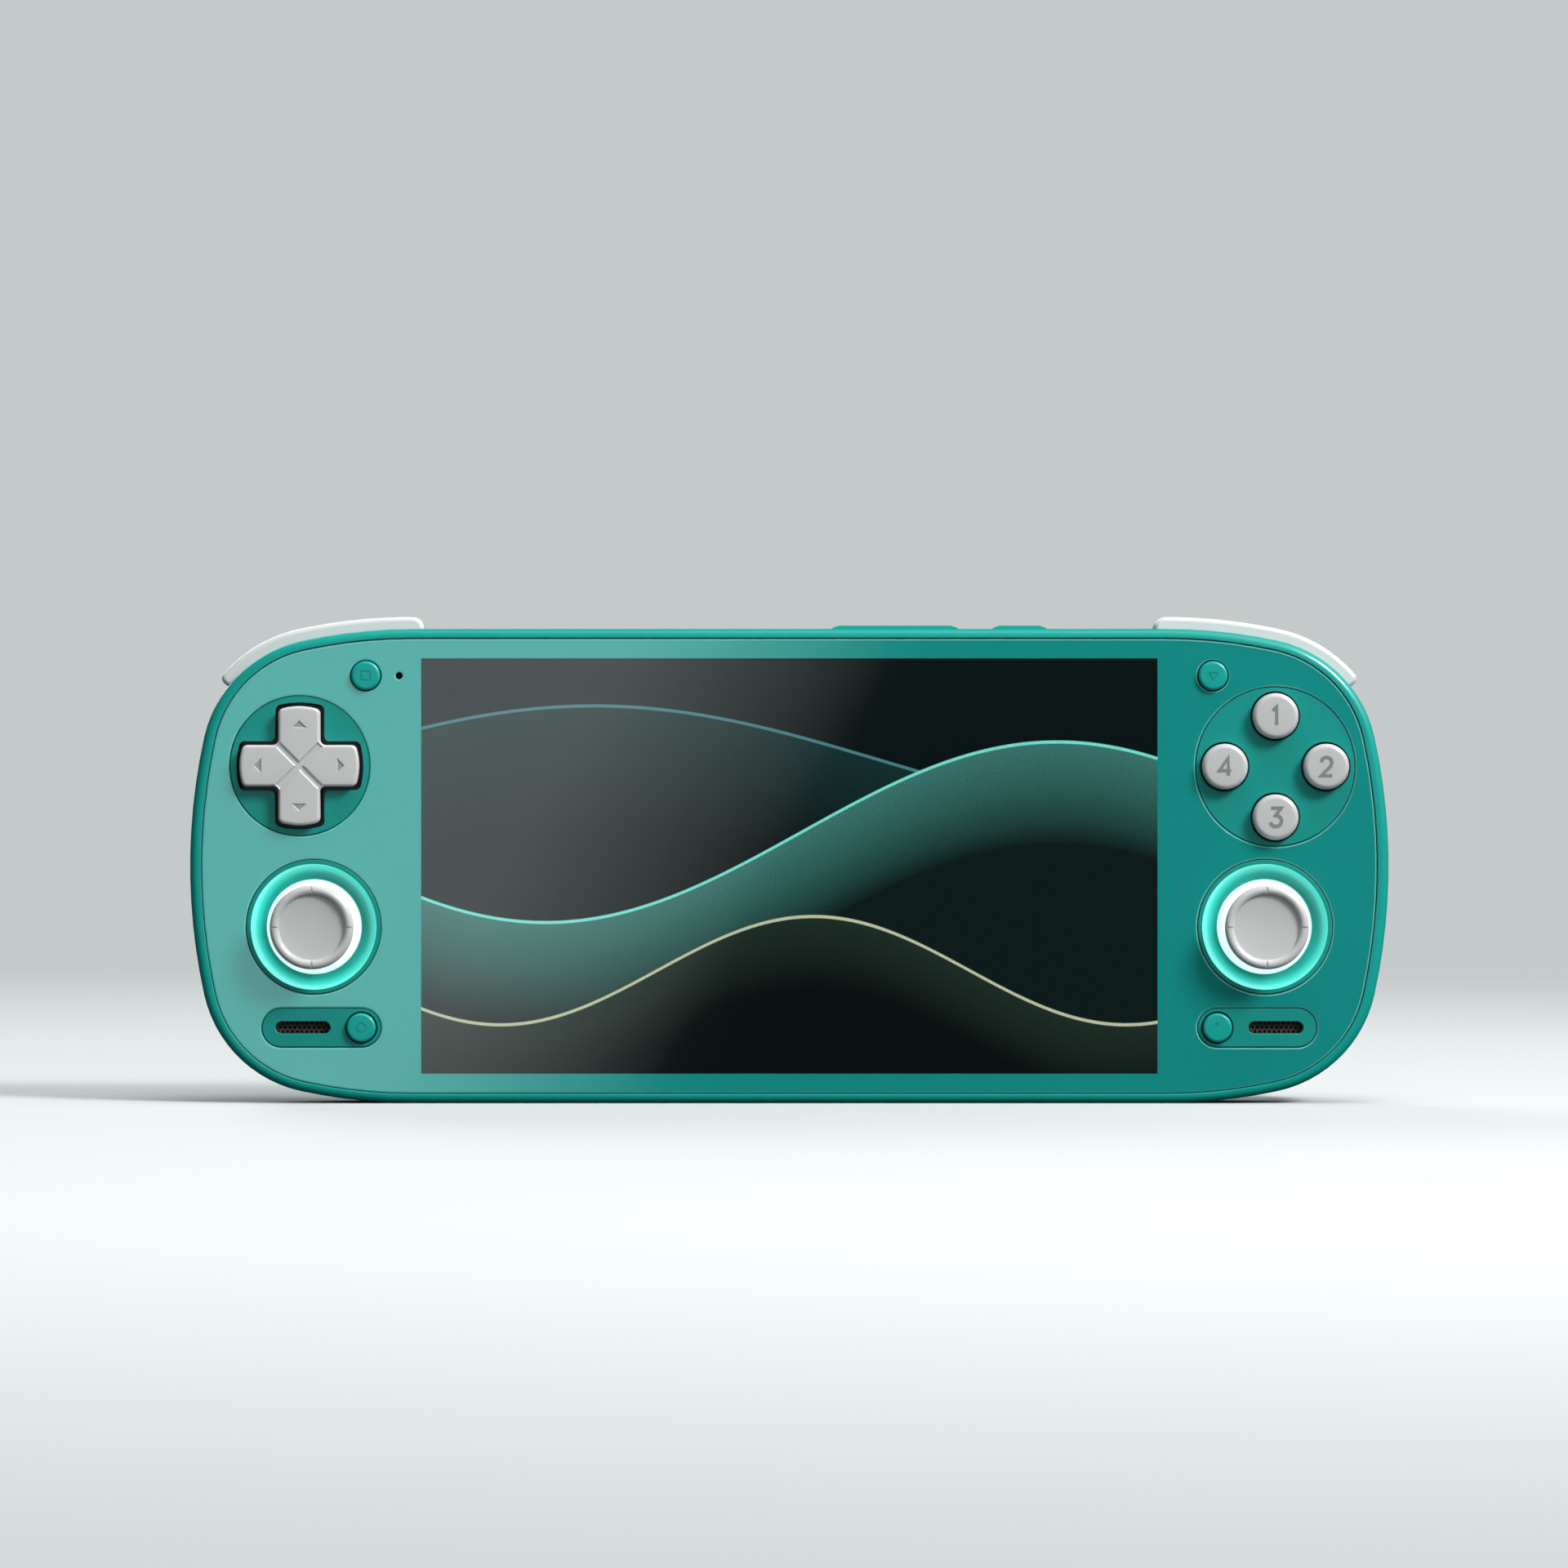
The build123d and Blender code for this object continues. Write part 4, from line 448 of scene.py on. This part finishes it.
def makeDome():
    # opal polycarbonate dome lit from inside: nearly pure white
    material, tree, place = newMaterial("opalDome")
    cloud = addNode(tree, "ShaderNodeTexNoise", {"Vector": place, "Scale": stick["cloudScale"], "Detail": 2.0})
    first, second = stick["domeGlow"]
    tone = addNode(tree, "ShaderNodeMix", {"Factor": cloud.outputs["Fac"], "A": linear(first),
                                           "B": linear(second)}, data_type="RGBA")
    shader = addNode(tree, "ShaderNodeBsdfPrincipled", {
        "Base Color": linear(stick["domeColour"]), "Roughness": stick["domeRoughness"], "IOR": stick["ior"],
        "Emission Color": tone.outputs["Result"], "Emission Strength": stick["domeStrength"]})
    addNode(tree, "ShaderNodeOutputMaterial", {"Surface": shader.outputs[0]})
    return material


dishLeft = makeDish(-1)
dishRight = makeDish(1)
opalDome = makeDome()
print("dishes and domes made")


# Metals, boards and inner parts
metalLook = {"smoother": 0.08, "rougher": 0.1, "bump": 0.2, "bumpHeight": 0.000004}


def makeMetal(name, colour, roughness, grain, stretch):
    # rolled or machined metal: fine lines along one way in the gloss
    material, tree, place = newMaterial(name)
    drawn = addNode(tree, "ShaderNodeMapping", {"Vector": place, "Scale": stretch})
    lines = addNode(tree, "ShaderNodeTexNoise", {"Vector": drawn.outputs[0], "Scale": 1000 / grain, "Detail": 2.0})
    rough = addNode(tree, "ShaderNodeMapRange", {
        "Value": lines.outputs["Fac"], "To Min": roughness - metalLook["smoother"],
        "To Max": roughness + metalLook["rougher"]})
    bump = addNode(tree, "ShaderNodeBump", {"Height": lines.outputs["Fac"], "Strength": metalLook["bump"],
                                            "Distance": metalLook["bumpHeight"]})
    shader = addNode(tree, "ShaderNodeBsdfPrincipled", {
        "Base Color": linear(colour), "Metallic": 1.0, "Roughness": rough.outputs["Result"],
        "Normal": bump.outputs["Normal"]})
    addNode(tree, "ShaderNodeOutputMaterial", {"Surface": shader.outputs[0]})
    return material


def makeSheetGoods(name, colour, second, scale, roughness, threshold):
    # board, foil or woven mesh: two tones in small patches
    material, tree, place = newMaterial(name)
    cells = addNode(tree, "ShaderNodeTexVoronoi", {"Vector": place, "Scale": scale}, distance="CHEBYCHEV")
    patch = addNode(tree, "ShaderNodeMath", {0: cells.outputs["Distance"], 1: threshold}, operation="GREATER_THAN")
    mix = addNode(tree, "ShaderNodeMix", {"Factor": patch.outputs[0], "A": linear(colour), "B": linear(second)},
                  data_type="RGBA")
    shader = addNode(tree, "ShaderNodeBsdfPrincipled", {"Base Color": mix.outputs["Result"], "Roughness": roughness,
                                                        "IOR": 1.5})
    addNode(tree, "ShaderNodeOutputMaterial", {"Surface": shader.outputs[0]})
    return material


# metals: name, colour, roughness, grain mm, stretch of the lines
stainlessSteel = makeMetal("stainlessSteel", "#b9bcbe", 0.3, 0.15, (1, 1, 0.05))
blackOxideSteel = makeMetal("blackOxideSteel", "#2c2e30", 0.45, 0.15, (1, 1, 0.05))
castMagnesium = makeMetal("castMagnesium", "#7d8286", 0.5, 0.3, (1, 1, 1))
copperSheet = makeMetal("copperSheet", "#c98a63", 0.35, 0.2, (1, 0.1, 1))
# sheets: name, two colours, patches a metre, roughness, how much of a patch has the first colour
glassFibreBoard = makeSheetGoods("glassFibreBoard", "#0d3b2a", "#12503a", 900.0, 0.4, 0.4)
batteryFoil = makeSheetGoods("batteryFoil", "#1b1d20", "#24272a", 300.0, 0.35, 0.5)
wovenMesh = makeSheetGoods("wovenMesh", "#574a44", "#3c332f", 2500.0, 0.6, 0.3)
print("metals and inner materials made")


# Materials on the frame's own pieces
dressing = (
    (glossTeal, "front_frame rear_shell"),
    (coverGlass, "front_glass"),
    (tealPrint, "colour_film"),
    (litDisplay, "display_panel"),
    (satinTeal, "dpad_well button_well left_insert right_insert"),
    (tealKey, "volume_key power_key"),
    (tealButton, "select_button start_button home_button back_button"),
    (greyPad, "dpad"),
    (greyButton, "button_north button_east button_south button_west"),
    (whitePlastic, "left_trigger right_trigger"),
    (thumbRubber, "left_stick_cap right_stick_cap"),
    (opalDome, "left_stick_dome right_stick_dome left_light_ring right_light_ring"),
    (dishLeft, "left_stick_well"),
    (dishRight, "right_stick_well"),
    (blackPlastic, "left_stick_base right_stick_base left_stick_ring right_stick_ring fan_housing fan_rotor "
                   "tact_switches left_speaker right_speaker audio_jack"),
    (silicone, "dpad_membrane button_membrane"),
    (stainlessSteel, "display_tray dpad_pivot trigger_pins trigger_springs board_screws usb_socket card_slot"),
    (blackOxideSteel, "rear_screws"),
    (castMagnesium, "chassis_plate"),
    (copperSheet, "heat_sink"),
    (glassFibreBoard, "main_board left_control_board right_control_board"),
    (batteryFoil, "battery"),
    (wovenMesh, "speaker_meshes"),
)
# pieces that no view shows keep the frame's own mesh
inside = """display_tray chassis_plate main_board battery heat_sink fan_housing fan_rotor dpad_pivot dpad_membrane
button_membrane left_control_board right_control_board left_stick_ring right_stick_ring left_stick_base
right_stick_base left_light_ring right_light_ring trigger_pins trigger_springs board_screws tact_switches""".split()
for material, names in dressing:
    for name in names.split():
        piece = nodes[name] if name in inside else crispCopy(name)
        if not piece.data.materials:
            piece.data.materials.append(material)
        for slot in piece.material_slots:
            slot.material = material
print("frame pieces dressed")


# Shoulder bumpers: the frame's mesh draws their rounded corners in few facets, so they are drawn finer here
bumper = {      # mm and degrees, the values of the solids
    "start": 60.8, "proud": 2.05, "inside": 2.9, "cornerX": 76.75, "cornerZ": 56.3, "cornerRadius": 21.0,
    "run": 14.0, "drop": 1.5, "endAngle": 37.8, "innerRound": 1.9, "outerRound": 1.2, "edge": 0.8,
    "strip": 0.05,      # a narrow flat strip keeps the front's shading level
}
bumperSteps = {"flat": 12, "wide": 70, "tight": 90, "side": 6, "length": 90, "round": 14, "edge": 9}


def bumperPath():
    # centre line of the rim's top: a flat, a wide shoulder arc, then the corner arc. Each point has its
    # own outward way, so a point n mm out lies at place + n * way
    corner = np.array([bumper["cornerX"], bumper["cornerZ"]])
    radius = bumper["cornerRadius"]
    shoulder = radius + (bumper["run"] ** 2 + bumper["drop"] ** 2) / (2 * bumper["drop"])
    centre = np.array([corner[0] - bumper["run"], corner[1] + radius + bumper["drop"] - shoulder])
    meet = math.atan2(*(corner - centre)[::-1])
    flat = np.linspace(bumper["start"], centre[0], bumperSteps["flat"])[:-1]
    wide = np.linspace(math.pi / 2, meet, bumperSteps["wide"])[:-1]
    tight = np.linspace(meet, math.radians(bumper["endAngle"]), bumperSteps["tight"])
    places = [np.stack([flat, np.full(len(flat), centre[1] + shoulder)], axis=1)]
    ways = [np.stack([np.zeros(len(flat)), np.ones(len(flat))], axis=1)]
    for angles, middle, reach in ((wide, centre, shoulder), (tight, corner, radius)):
        way = np.stack([np.cos(angles), np.sin(angles)], axis=1)
        places.append(middle + reach * way)
        ways.append(way)
    return np.vstack(places), np.vstack(ways)


def bumperLoop(length, sunk):
    # the band's border as (along, outward), drawn in by sunk, its two proud corners rounded
    steps = np.linspace(0, math.pi / 2, bumperSteps["round"])
    first, last, top = sunk, length - sunk, bumper["proud"] - sunk
    inner, outer = bumper["innerRound"] - sunk, bumper["outerRound"] - sunk
    rise = np.linspace(-bumper["inside"], top - inner, bumperSteps["side"])[:-1]
    fall = np.linspace(top - outer, -bumper["inside"], bumperSteps["side"])[1:]
    over = np.linspace(first + inner, last - outer, bumperSteps["length"])[1:-1]
    back = np.linspace(last, first, bumperSteps["length"])[1:-1]
    return np.vstack([
        np.stack([np.full(len(rise), first), rise], axis=1),
        np.stack([first + inner * (1 - np.cos(steps)), top - inner * (1 - np.sin(steps))], axis=1),
        np.stack([over, np.full(len(over), top)], axis=1),
        np.stack([last - outer * (1 - np.sin(steps)), top - outer * (1 - np.cos(steps))], axis=1),
        np.stack([np.full(len(fall), last), fall], axis=1),
        np.stack([back, np.full(len(back), -bumper["inside"])], axis=1),
    ])


def makeBumper(name):
    # loops of the border stand on a quarter round at the front edge, then run straight to the back
    low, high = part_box(name)
    side = 1 if low.x > 0 else -1
    places, ways = bumperPath()
    proud = places + bumper["proud"] * ways
    along = np.concatenate([[0], np.cumsum(np.linalg.norm(np.diff(proud, axis=0), axis=1))])
    front, back, edge = low.y * 1000, high.y * 1000, bumper["edge"]
    loops = [(edge + bumper["strip"], front)]
    for angle in np.linspace(math.pi / 2, 0, bumperSteps["edge"]):
        loops.append((edge * (1 - math.cos(angle)), front + edge * (1 - math.sin(angle))))
    loops.append((0.0, back))
    verts = []
    for sunk, y in loops:
        border = bumperLoop(along[-1], sunk)
        spot = [np.interp(border[:, 0], along, column) for column in (*places.T, *ways.T)]
        x, z = spot[0] + border[:, 1] * spot[2], spot[1] + border[:, 1] * spot[3]
        verts.append(np.stack([side * x, np.full(len(x), y), z], axis=1) / 1000)
    count = len(verts[0])
    faces = []
    for loop in range(len(loops) - 1):
        faces += bandFaces(loop * count, (loop + 1) * count, count)
    faces.append(list(range(count))[::-1])
    faces.append(list(range((len(loops) - 1) * count, len(loops) * count)))
    piece = closedPiece(name + "_moulding", np.vstack(verts), faces, name, whitePlastic)
    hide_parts(name)


for name in ("left_bumper", "right_bumper"):
    makeBumper(name)
print("bumpers made")


# Sleeves of the two grip screws: the grips are hollow, so each screw's well has its own wall there
sleeve = {"x": 90.0, "z": 44.0, "inner": 1.62, "outer": 2.2, "from": 7.0, "to": 11.5, "sides": 64}      # mm


def makeSleeve(name, side):
    turn = np.linspace(0, 2 * math.pi, sleeve["sides"], endpoint=False)
    loops = []
    for radius, y in (("inner", "from"), ("inner", "to"), ("outer", "to"), ("outer", "from")):
        loops.append(np.stack([
            side * sleeve["x"] + sleeve[radius] * np.cos(turn), np.full(len(turn), sleeve[y]),
            sleeve["z"] + sleeve[radius] * np.sin(turn)], axis=1) / 1000)
    count = sleeve["sides"]
    faces = []
    for loop in range(len(loops)):
        faces += bandFaces(loop * count, (loop + 1) % len(loops) * count, count)
    closedPiece(name, np.vstack(loops), faces, "rear_shell", blackPlastic)


makeSleeve("left_screw_sleeve", -1)
makeSleeve("right_screw_sleeve", 1)
print("sleeves made")


# Plain numerals on the four round buttons
numerals = {
    "height": 3.0, "width": 1.95, "stroke": 0.6, "proud": 0.012,      # mm
    "climb": 0.002,      # mm at each point, so that a crossing doesn't share a plane
    "sharpest": 0.45,      # a corner's points go out no further than half the stroke over this
    "ink": ("#7e7e7e", "#888888"), "inkGrain": 5000.0, "inkRoughness": 0.45,
    "buttons": {"button_north": "1", "button_east": "2", "button_south": "3", "button_west": "4"},
    "strokes": {      # each stroke is a run of points in shares of the width and height
        "1": [[(0.22, 0.78), (0.55, 1.0), (0.55, 0.0)]],
        "2": [[(0.04, 0.74), (0.12, 0.9), (0.32, 1.0), (0.62, 1.0), (0.86, 0.9), (0.93, 0.72), (0.84, 0.52),
               (0.03, 0.0), (0.97, 0.0)]],
        "3": [[(0.06, 1.0), (0.92, 1.0), (0.46, 0.6), (0.68, 0.58), (0.9, 0.47), (0.97, 0.3), (0.9, 0.12),
               (0.68, 0.0), (0.34, 0.0), (0.12, 0.09), (0.03, 0.22)]],
        "4": [[(0.74, 0.0), (0.74, 1.0), (0.0, 0.27), (1.0, 0.27)]],
    },
}


def ribbon(points, half, y):
    # a flat band along a run of points: each point is set out to both sides along the mean normal
    points = np.asarray(points, float)
    steps = np.diff(points, axis=0)
    steps /= np.linalg.norm(steps, axis=1)[:, None]
    before = np.vstack([steps[:1], steps])
    after = np.vstack([steps, steps[-1:]])
    way = before + after
    way /= np.linalg.norm(way, axis=1)[:, None]
    normal = np.stack([-way[:, 1], way[:, 0]], axis=1)
    straight = np.stack([-after[:, 1], after[:, 0]], axis=1)
    spread = half / np.maximum(numerals["sharpest"], np.abs(np.sum(normal * straight, axis=1)))
    left = points + normal * spread[:, None]
    right = points - normal * spread[:, None]
    flat = np.stack([left, right], axis=1).reshape(-1, 2)
    climb = np.arange(len(flat)) // 2 * numerals["climb"] / 1000
    verts = np.stack([flat[:, 0], y - climb, flat[:, 1]], axis=1)
    n = np.arange(len(points) - 1) * 2
    return verts, np.stack([n, n + 1, n + 3, n + 2], axis=1)


def makeInk():
    # pad-printed grey ink, a touch darker than the key top
    material, tree, place = newMaterial("padPrintedInk")
    first, second = numerals["ink"]
    speck = addNode(tree, "ShaderNodeTexNoise", {"Vector": place, "Scale": numerals["inkGrain"]})
    colour = addNode(tree, "ShaderNodeMix", {"Factor": speck.outputs["Fac"], "A": linear(first),
                                             "B": linear(second)}, data_type="RGBA")
    shader = addNode(tree, "ShaderNodeBsdfPrincipled", {"Base Color": colour.outputs["Result"],
                                                        "Roughness": numerals["inkRoughness"]})
    addNode(tree, "ShaderNodeOutputMaterial", {"Surface": shader.outputs[0]})
    return material


def makeNumeral(name, figure, ink):
    # the figure's strokes lie just proud of the button's face, about its middle
    low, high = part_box(name)
    centre = (low + high) / 2
    width, height = numerals["width"] / 1000, numerals["height"] / 1000
    allVerts, allFaces, count = [], [], 0
    for stroke in numerals["strokes"][figure]:
        points = [((sx - 0.5) * width + centre.x, (sz - 0.5) * height + centre.z) for sx, sz in stroke]
        verts, faces = ribbon(points, numerals["stroke"] / 2000, low.y - numerals["proud"] / 1000)
        allVerts.append(verts)
        allFaces.append(faces + count)
        count += len(verts)
    mesh = bpy.data.meshes.new(name + "_numeral")
    mesh.from_pydata(np.vstack(allVerts).tolist(), [], np.vstack(allFaces).tolist())
    mesh.materials.append(ink)
    placePiece(name + "_numeral", mesh, name)


buttonInk = makeInk()
for name, figure in numerals["buttons"].items():
    makeNumeral(name, figure, buttonInk)
print("numerals made")


# Floor, light and camera
studio = {
    "floorColour": "#c9cccc", "unseenFloor": "#34383a", "floorSize": 3.0, "floorCells": 8, "floorDrop": 0.00002,
    "toothScale": 900.0, "tooth": 0.1, "toothHeight": 0.00005, "floorRoughness": 0.9,
    "near": 0.3, "far": 0.95,      # metres: where the paper starts and ends melting into the backdrop
    "skyColour": "#c4caca", "fillColour": "#f4f8f8", "fill": 0.25, "fillFrom": (0.5, -0.35, 0.8),
    "fillSpread": 0.75, "lampTarget": (0, 0, 0.04),
}


def makeFloor():
    # paper sweep: a wide flat sheet with a faint tooth
    cells = studio["floorCells"]
    side = np.linspace(-studio["floorSize"], studio["floorSize"], cells + 1)
    x, y = np.meshgrid(side, side)
    verts = np.stack([x, y, np.zeros_like(x) - studio["floorDrop"]], axis=-1).reshape(-1, 3)
    i, j = np.meshgrid(np.arange(cells), np.arange(cells))
    first = (j * (cells + 1) + i).ravel()
    faces = np.stack([first, first + 1, first + cells + 2, first + cells + 1], axis=1)
    mesh = bpy.data.meshes.new("paperFloor")
    mesh.from_pydata(verts.tolist(), [], faces.tolist())
    floor = bpy.data.objects.new("paperFloor", mesh)
    scene.collection.objects.link(floor)
    material, tree, place = newMaterial("palePaper")
    tooth = addNode(tree, "ShaderNodeTexNoise", {"Vector": place, "Scale": studio["toothScale"], "Detail": 3.0})
    bump = addNode(tree, "ShaderNodeBump", {"Height": tooth.outputs["Fac"], "Strength": studio["tooth"],
                                            "Distance": studio["toothHeight"]})
    # only the camera sees the paper pale: its bounce is dim, so the lower rim stays dark as photographed
    ray = addNode(tree, "ShaderNodeLightPath")
    tone = addNode(tree, "ShaderNodeMix", {
        "Factor": ray.outputs["Is Camera Ray"], "A": linear(studio["unseenFloor"]),
        "B": linear(studio["floorColour"])}, data_type="RGBA")
    shader = addNode(tree, "ShaderNodeBsdfPrincipled", {
        "Base Color": tone.outputs["Result"], "Roughness": studio["floorRoughness"],
        "Normal": bump.outputs["Normal"]})
    # away from the object the paper melts into the backdrop for the camera, so no horizon shows
    ground = addNode(tree, "ShaderNodeMapping", {"Vector": place, "Scale": (1, 1, 0)})
    away = addNode(tree, "ShaderNodeVectorMath", {0: ground.outputs[0]}, operation="LENGTH").outputs["Value"]
    share = addNode(tree, "ShaderNodeMapRange", {"Value": away, "From Min": studio["near"],
                                                 "From Max": studio["far"]}, interpolation_type="SMOOTHSTEP")
    seen = addNode(tree, "ShaderNodeMath", {0: share.outputs["Result"], 1: ray.outputs["Is Camera Ray"]},
                   operation="MULTIPLY")
    plain = addNode(tree, "ShaderNodeEmission", {"Color": linear(studio["skyColour"]), "Strength": 1.0})
    mix = addNode(tree, "ShaderNodeMixShader", {0: seen.outputs[0], 1: shader.outputs[0], 2: plain.outputs[0]})
    addNode(tree, "ShaderNodeOutputMaterial", {"Surface": mix.outputs[0]})
    mesh.materials.append(material)
    floor.visible_glossy = False      # the face mirrors the dark studio in front of it, not the paper


sweep = {      # the soft pale screen in front, seen in the glass: its edge runs down to the left
    "lean": 0.54, "place": 0.0039, "ramp": 0.036, "brightness": 1.05, "tint": "#f2ffff", "dark": 0.012,
    "reach": 0.12, "low": -0.08, "high": 0.06, "least": 0.08, "cut": 0.0015,
    "ahead": 0.05, "facing": 0.3,      # shares of a ray's length that run to the front
    # a card at the upper right
    "sideCard": (0.62, -0.2, 0.76), "sideFrom": 0.68, "sideTo": 0.97, "sideLevel": 1.0,
}


def makeWorld():
    # the camera sees a plain backdrop, shiny faces mirror the screen and the card, the rest is a soft fill
    world = bpy.data.worlds.new("studioWorld")
    scene.world = world
    world.use_nodes = True
    tree = world.node_tree
    tree.nodes.clear()
    way = addNode(tree, "ShaderNodeTexCoord").outputs["Generated"]
    split = addNode(tree, "ShaderNodeSeparateXYZ", {"Vector": way})
    front = addNode(tree, "ShaderNodeMath", {0: split.outputs["Y"], 1: -1.0}, operation="MULTIPLY").outputs[0]
    ahead = addNode(tree, "ShaderNodeMath", {0: front, 1: sweep["ahead"]}, operation="MAXIMUM").outputs[0]
    side = addNode(tree, "ShaderNodeMath", {0: split.outputs["X"], 1: ahead}, operation="DIVIDE").outputs[0]
    rise = addNode(tree, "ShaderNodeMath", {0: split.outputs["Z"], 1: ahead}, operation="DIVIDE").outputs[0]
    lean = addNode(tree, "ShaderNodeMath", {0: rise, 1: sweep["lean"], 2: sweep["place"]}, operation="MULTIPLY_ADD")
    inside = addNode(tree, "ShaderNodeMath", {0: lean.outputs[0], 1: side}, operation="SUBTRACT").outputs[0]
    card = addNode(tree, "ShaderNodeMapRange", {"Value": inside, "From Min": 0.0, "From Max": sweep["ramp"],
                                                "To Min": sweep["least"], "To Max": 1.0})
    cut = addNode(tree, "ShaderNodeMapRange", {
        "Value": inside, "From Min": -sweep["cut"], "From Max": sweep["cut"]})
    facing = addNode(tree, "ShaderNodeMath", {0: front, 1: sweep["facing"]}, operation="GREATER_THAN")
    within = addNode(tree, "ShaderNodeMath", {0: side, 1: -sweep["reach"]}, operation="GREATER_THAN")
    middle = (sweep["low"] + sweep["high"]) / 2
    between = addNode(tree, "ShaderNodeMath", {0: rise, 1: middle, 2: sweep["high"] - middle}, operation="COMPARE")
    level = card.outputs["Result"]
    for share in (cut.outputs["Result"], facing.outputs[0], within.outputs[0], between.outputs[0]):
        level = addNode(tree, "ShaderNodeMath", {0: level, 1: share}, operation="MULTIPLY").outputs[0]
    level = addNode(tree, "ShaderNodeMath", {0: level, 1: sweep["brightness"], 2: sweep["dark"]},
                    operation="MULTIPLY_ADD")
    toward = addNode(tree, "ShaderNodeVectorMath", {0: way, 1: tuple(Vector(sweep["sideCard"]).normalized())},
                     operation="DOT_PRODUCT").outputs["Value"]
    beside = addNode(tree, "ShaderNodeMapRange", {"Value": toward, "From Min": sweep["sideFrom"],
                                                  "From Max": sweep["sideTo"], "To Max": sweep["sideLevel"]},
                     interpolation_type="SMOOTHSTEP")
    level = addNode(tree, "ShaderNodeMath", {0: level.outputs[0], 1: beside.outputs["Result"]}, operation="ADD")
    mirrored = addNode(tree, "ShaderNodeBackground", {"Color": linear(sweep["tint"]),
                                                      "Strength": level.outputs[0]})
    over = addNode(tree, "ShaderNodeVectorMath", {0: way, 1: tuple(Vector(studio["fillFrom"]).normalized())},
                   operation="DOT_PRODUCT").outputs["Value"]
    spread = studio["fill"] * studio["fillSpread"]
    fill = addNode(tree, "ShaderNodeMath", {0: over, 1: spread, 2: studio["fill"]}, operation="MULTIPLY_ADD")
    soft = addNode(tree, "ShaderNodeBackground", {"Color": linear(studio["fillColour"]), "Strength": fill.outputs[0]})
    sky = addNode(tree, "ShaderNodeBackground", {"Color": linear(studio["skyColour"]), "Strength": 1.0})
    ray = addNode(tree, "ShaderNodeLightPath")
    lit = addNode(tree, "ShaderNodeMixShader", {0: ray.outputs["Is Glossy Ray"], 1: soft.outputs[0],
                                                2: mirrored.outputs[0]})
    seen = addNode(tree, "ShaderNodeMixShader", {0: ray.outputs["Is Camera Ray"], 1: lit.outputs[0],
                                                 2: sky.outputs[0]})
    addNode(tree, "ShaderNodeOutputWorld", {"Surface": seen.outputs[0]})


lamps = (
    # name, place, size, power, colour
    ("keySoftbox", (0.95, -0.8, 1.0), 0.45, 25.0, "#ffffff"),
    ("topSoftbox", (0.15, -0.2, 1.1), 0.6, 6.0, "#ffffff"),
    ("frontFill", (0.25, -1.7, 0.6), 0.8, 4.1, "#f4fbff"),
    ("rearFill", (-0.7, 1.5, 0.9), 0.9, 14.0, "#f4fbff"),      # only for views from behind
)


def makeLamps():
    for name, place, size, power, colour in lamps:
        data = bpy.data.lights.new(name, "AREA")
        data.size = size
        data.energy = power
        data.color = linear(colour)[:3]
        lamp = bpy.data.objects.new(name, data)
        lamp.location = place
        lamp.rotation_euler = (Vector(studio["lampTarget"]) - Vector(place)).to_track_quat("-Z", "Y").to_euler()
        lamp.visible_glossy = name in ("keySoftbox", "rearFill")      # the glass and the flat top mirror no other
        scene.collection.objects.link(lamp)


view = {
    "scale": 7.3745, "centre": (966.5, 1351.0), "frame": 1920,      # px per mm, px, px
    "distance": 1.2, "sensor": 36.0, "clip": (0.01, 20),      # metres, mm, metres
}


def makeCamera():
    # level camera: the frame's middle pixel gives its height, the scale in px per mm gives its lens
    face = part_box("front_glass")[0].y
    width = view["frame"] / view["scale"] / 1000
    data = bpy.data.cameras.new("studyCamera")
    data.sensor_width = view["sensor"]
    data.lens = view["sensor"] * view["distance"] / width
    data.clip_start, data.clip_end = view["clip"]
    camera = bpy.data.objects.new("studyCamera", data)
    middle = view["frame"] / 2
    camera.location = ((middle - view["centre"][0]) / view["scale"] / 1000, face - view["distance"],
                       (view["centre"][1] - middle) / view["scale"] / 1000)
    camera.rotation_euler = (math.pi / 2, 0, 0)
    scene.collection.objects.link(camera)
    scene.camera = camera


makeFloor()
makeWorld()
makeLamps()
makeCamera()
scene.view_settings.view_transform = "Standard"
print("studio made")
